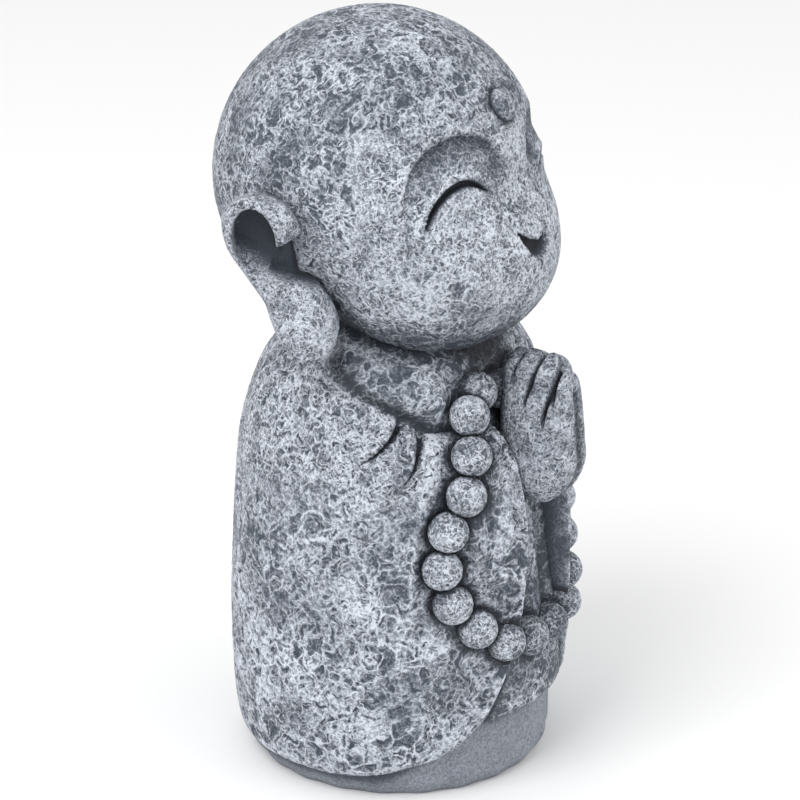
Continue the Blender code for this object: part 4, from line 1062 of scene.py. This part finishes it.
class JizoSizes(bpy.types.PropertyGroup):
    """Sizes of the figurine's relief and fineness of its meshes."""
    ridge_height: length("Ridge height", "Crackle height that each piece takes a share or multiple of", 0.30 * MM)
    robe_cell: length("Robe crackle", "Size of a cell of the crackle on the robe", 2.9 * MM)
    shoulder_cell: length("Shoulder crackle", "Size of a cell of the crackle on the shoulders", 1.5 * MM)
    head_cell: length("Head crackle", "Size of a cell of the crackle on the crown", 2.2 * MM)
    face_cell: length("Face crackle", "Size of a cell of the crackle on the face", 1.2 * MM)
    ear_cell: length("Ear crackle", "Size of a cell of the crackle on the ears", 1.1 * MM)
    hand_cell: length("Hand crackle", "Size of a cell of the crackle on the hands", 1.3 * MM)
    bead_cell: length("Bead pits", "Distance between pits on the beads", 1.15 * MM)
    bead_diameter: length("Bead diameter", "Diameter of a prayer bead", 5.6 * MM)
    bead_spacing: length("Bead spacing", "Distance between the middles of two beads", 5.45 * MM)
    head_cells: count("Head cells", "Squares along one side of the head's cube ball", 126)
    bead_cells: count("Bead cells", "Squares along one side of a bead's cube ball", 14)
    ear_rows: count("Ear rows", "Rows and columns over each ear", 130)
    robe_columns: count("Robe columns", "Columns round the robe", 400)
    robe_rows: count("Robe rows", "Rows up the robe above the hem", 170)
    sleeve_columns: count("Sleeve columns", "Columns along each sleeve", 310)
    sleeve_rows: count("Sleeve rows", "Rows up each sleeve's outer cloth", 240)
    hand_columns: count("Hand columns", "Columns round the hands", 220)
    hand_rows: count("Hand rows", "Rows up the hands", 170)


class JizoFinish(bpy.types.PropertyGroup):
    """Colours of the paint, and the painted shade of the deepest creases."""
    # Painted shade: the near-black of the deepest creases, hollows and joints between pieces.
    crease_shade_colour: colour("Crease", "Paint in the deepest creases", (0.022, 0.026, 0.034))
    pit_colour: colour("Pits", "Dark wash that stays between the ridges", (0.060, 0.073, 0.096))
    ridge_colour: colour("Ridges", "Pale dry-brushed paint on the ridges", (0.70, 0.74, 0.82))


class JizoStage(bpy.types.PropertyGroup):
    """Floor, lights and camera."""
    floor_colour: colour("Floor", "Colour of the floor", (0.92, 0.92, 0.92))
    floor_size: length("Floor size", "Side of the square floor", 6.0)
    room_light: FloatProperty(name="Room light", description="Strength of the even light all round", default=0.85)
    key_power: FloatProperty(name="Key light", description="Power of the key light", default=4.0, unit="POWER")
    fill_power: FloatProperty(name="Fill light", description="Power of the fill light", default=1.2, unit="POWER")
    azimuth: FloatProperty(name="Azimuth", description="Camera's turn round the figure in degrees", default=-58.0)
    elevation: FloatProperty(name="Elevation", description="Camera's height in degrees", default=20.0)
    distance: length("Distance", "From the camera to the figure's middle", 0.4)
    lens: FloatProperty(name="Lens", description="Focal length in millimetres", default=125.7)


class PieceOperator:
    """What every piece's operator shares: the maker that it calls with the sizes."""
    bl_options = {"REGISTER", "UNDO"}

    def execute(self, context):
        self.maker(context.scene.jizo_sizes)
        return {"FINISHED"}


class JIZO_OT_head(PieceOperator, bpy.types.Operator):
    """Build the head with its closed eyes, smile and urna"""
    bl_idname = "jizo.head"
    bl_label = "Head"
    maker = staticmethod(build_head)


class JIZO_OT_ears(PieceOperator, bpy.types.Operator):
    """Build both long ears"""
    bl_idname = "jizo.ears"
    bl_label = "Ears"
    maker = staticmethod(build_ears)


class JIZO_OT_robe(PieceOperator, bpy.types.Operator):
    """Build the robe and its pleated skirt"""
    bl_idname = "jizo.robe"
    bl_label = "Robe"
    maker = staticmethod(build_robe)


class JIZO_OT_sleeves(PieceOperator, bpy.types.Operator):
    """Build both wide sleeves"""
    bl_idname = "jizo.sleeves"
    bl_label = "Sleeves"
    maker = staticmethod(build_sleeves)


class JIZO_OT_hands(PieceOperator, bpy.types.Operator):
    """Build the hands pressed together"""
    bl_idname = "jizo.hands"
    bl_label = "Hands"
    maker = staticmethod(build_hands)


class JIZO_OT_beads(PieceOperator, bpy.types.Operator):
    """Build the string of prayer beads"""
    bl_idname = "jizo.beads"
    bl_label = "Beads"
    maker = staticmethod(build_beads)


class JIZO_OT_stage(bpy.types.Operator):
    """Set up the floor, the lights and the camera"""
    bl_idname = "jizo.stage"
    bl_label = "Stage"
    bl_options = {"REGISTER", "UNDO"}

    def execute(self, context):
        build_stage(context.scene.jizo_stage)
        return {"FINISHED"}


OPERATORS = (JIZO_OT_head, JIZO_OT_ears, JIZO_OT_robe, JIZO_OT_sleeves, JIZO_OT_hands, JIZO_OT_beads, JIZO_OT_stage)
SETTINGS = (("jizo_sizes", JizoSizes), ("jizo_finish", JizoFinish), ("jizo_stage", JizoStage))


class JIZO_PT_panel(bpy.types.Panel):
    """The figurine's settings and steps"""
    bl_label = "Jizo figurine"
    bl_idname = "JIZO_PT_panel"
    bl_space_type = "VIEW_3D"
    bl_region_type = "UI"
    bl_category = "Jizo"

    def draw(self, context):
        for name, group in SETTINGS:
            settings = getattr(context.scene, name)
            for key in group.__annotations__:
                self.layout.prop(settings, key)
        for operator in OPERATORS:
            self.layout.operator(operator.bl_idname)


def register():
    for name, group in SETTINGS:
        bpy.utils.register_class(group)
        setattr(bpy.types.Scene, name, PointerProperty(type=group))
    for kind in (*OPERATORS, JIZO_PT_panel):
        bpy.utils.register_class(kind)


def unregister():
    for kind in (JIZO_PT_panel, *reversed(OPERATORS)):
        bpy.utils.unregister_class(kind)
    for name, group in reversed(SETTINGS):
        delattr(bpy.types.Scene, name)
        bpy.utils.unregister_class(group)


def main():
    """Builds every piece and the stage."""
    register()
    for operator in OPERATORS:
        getattr(bpy.ops.jizo, operator.bl_idname.removeprefix("jizo."))()


if __name__ == "__main__":
    main()
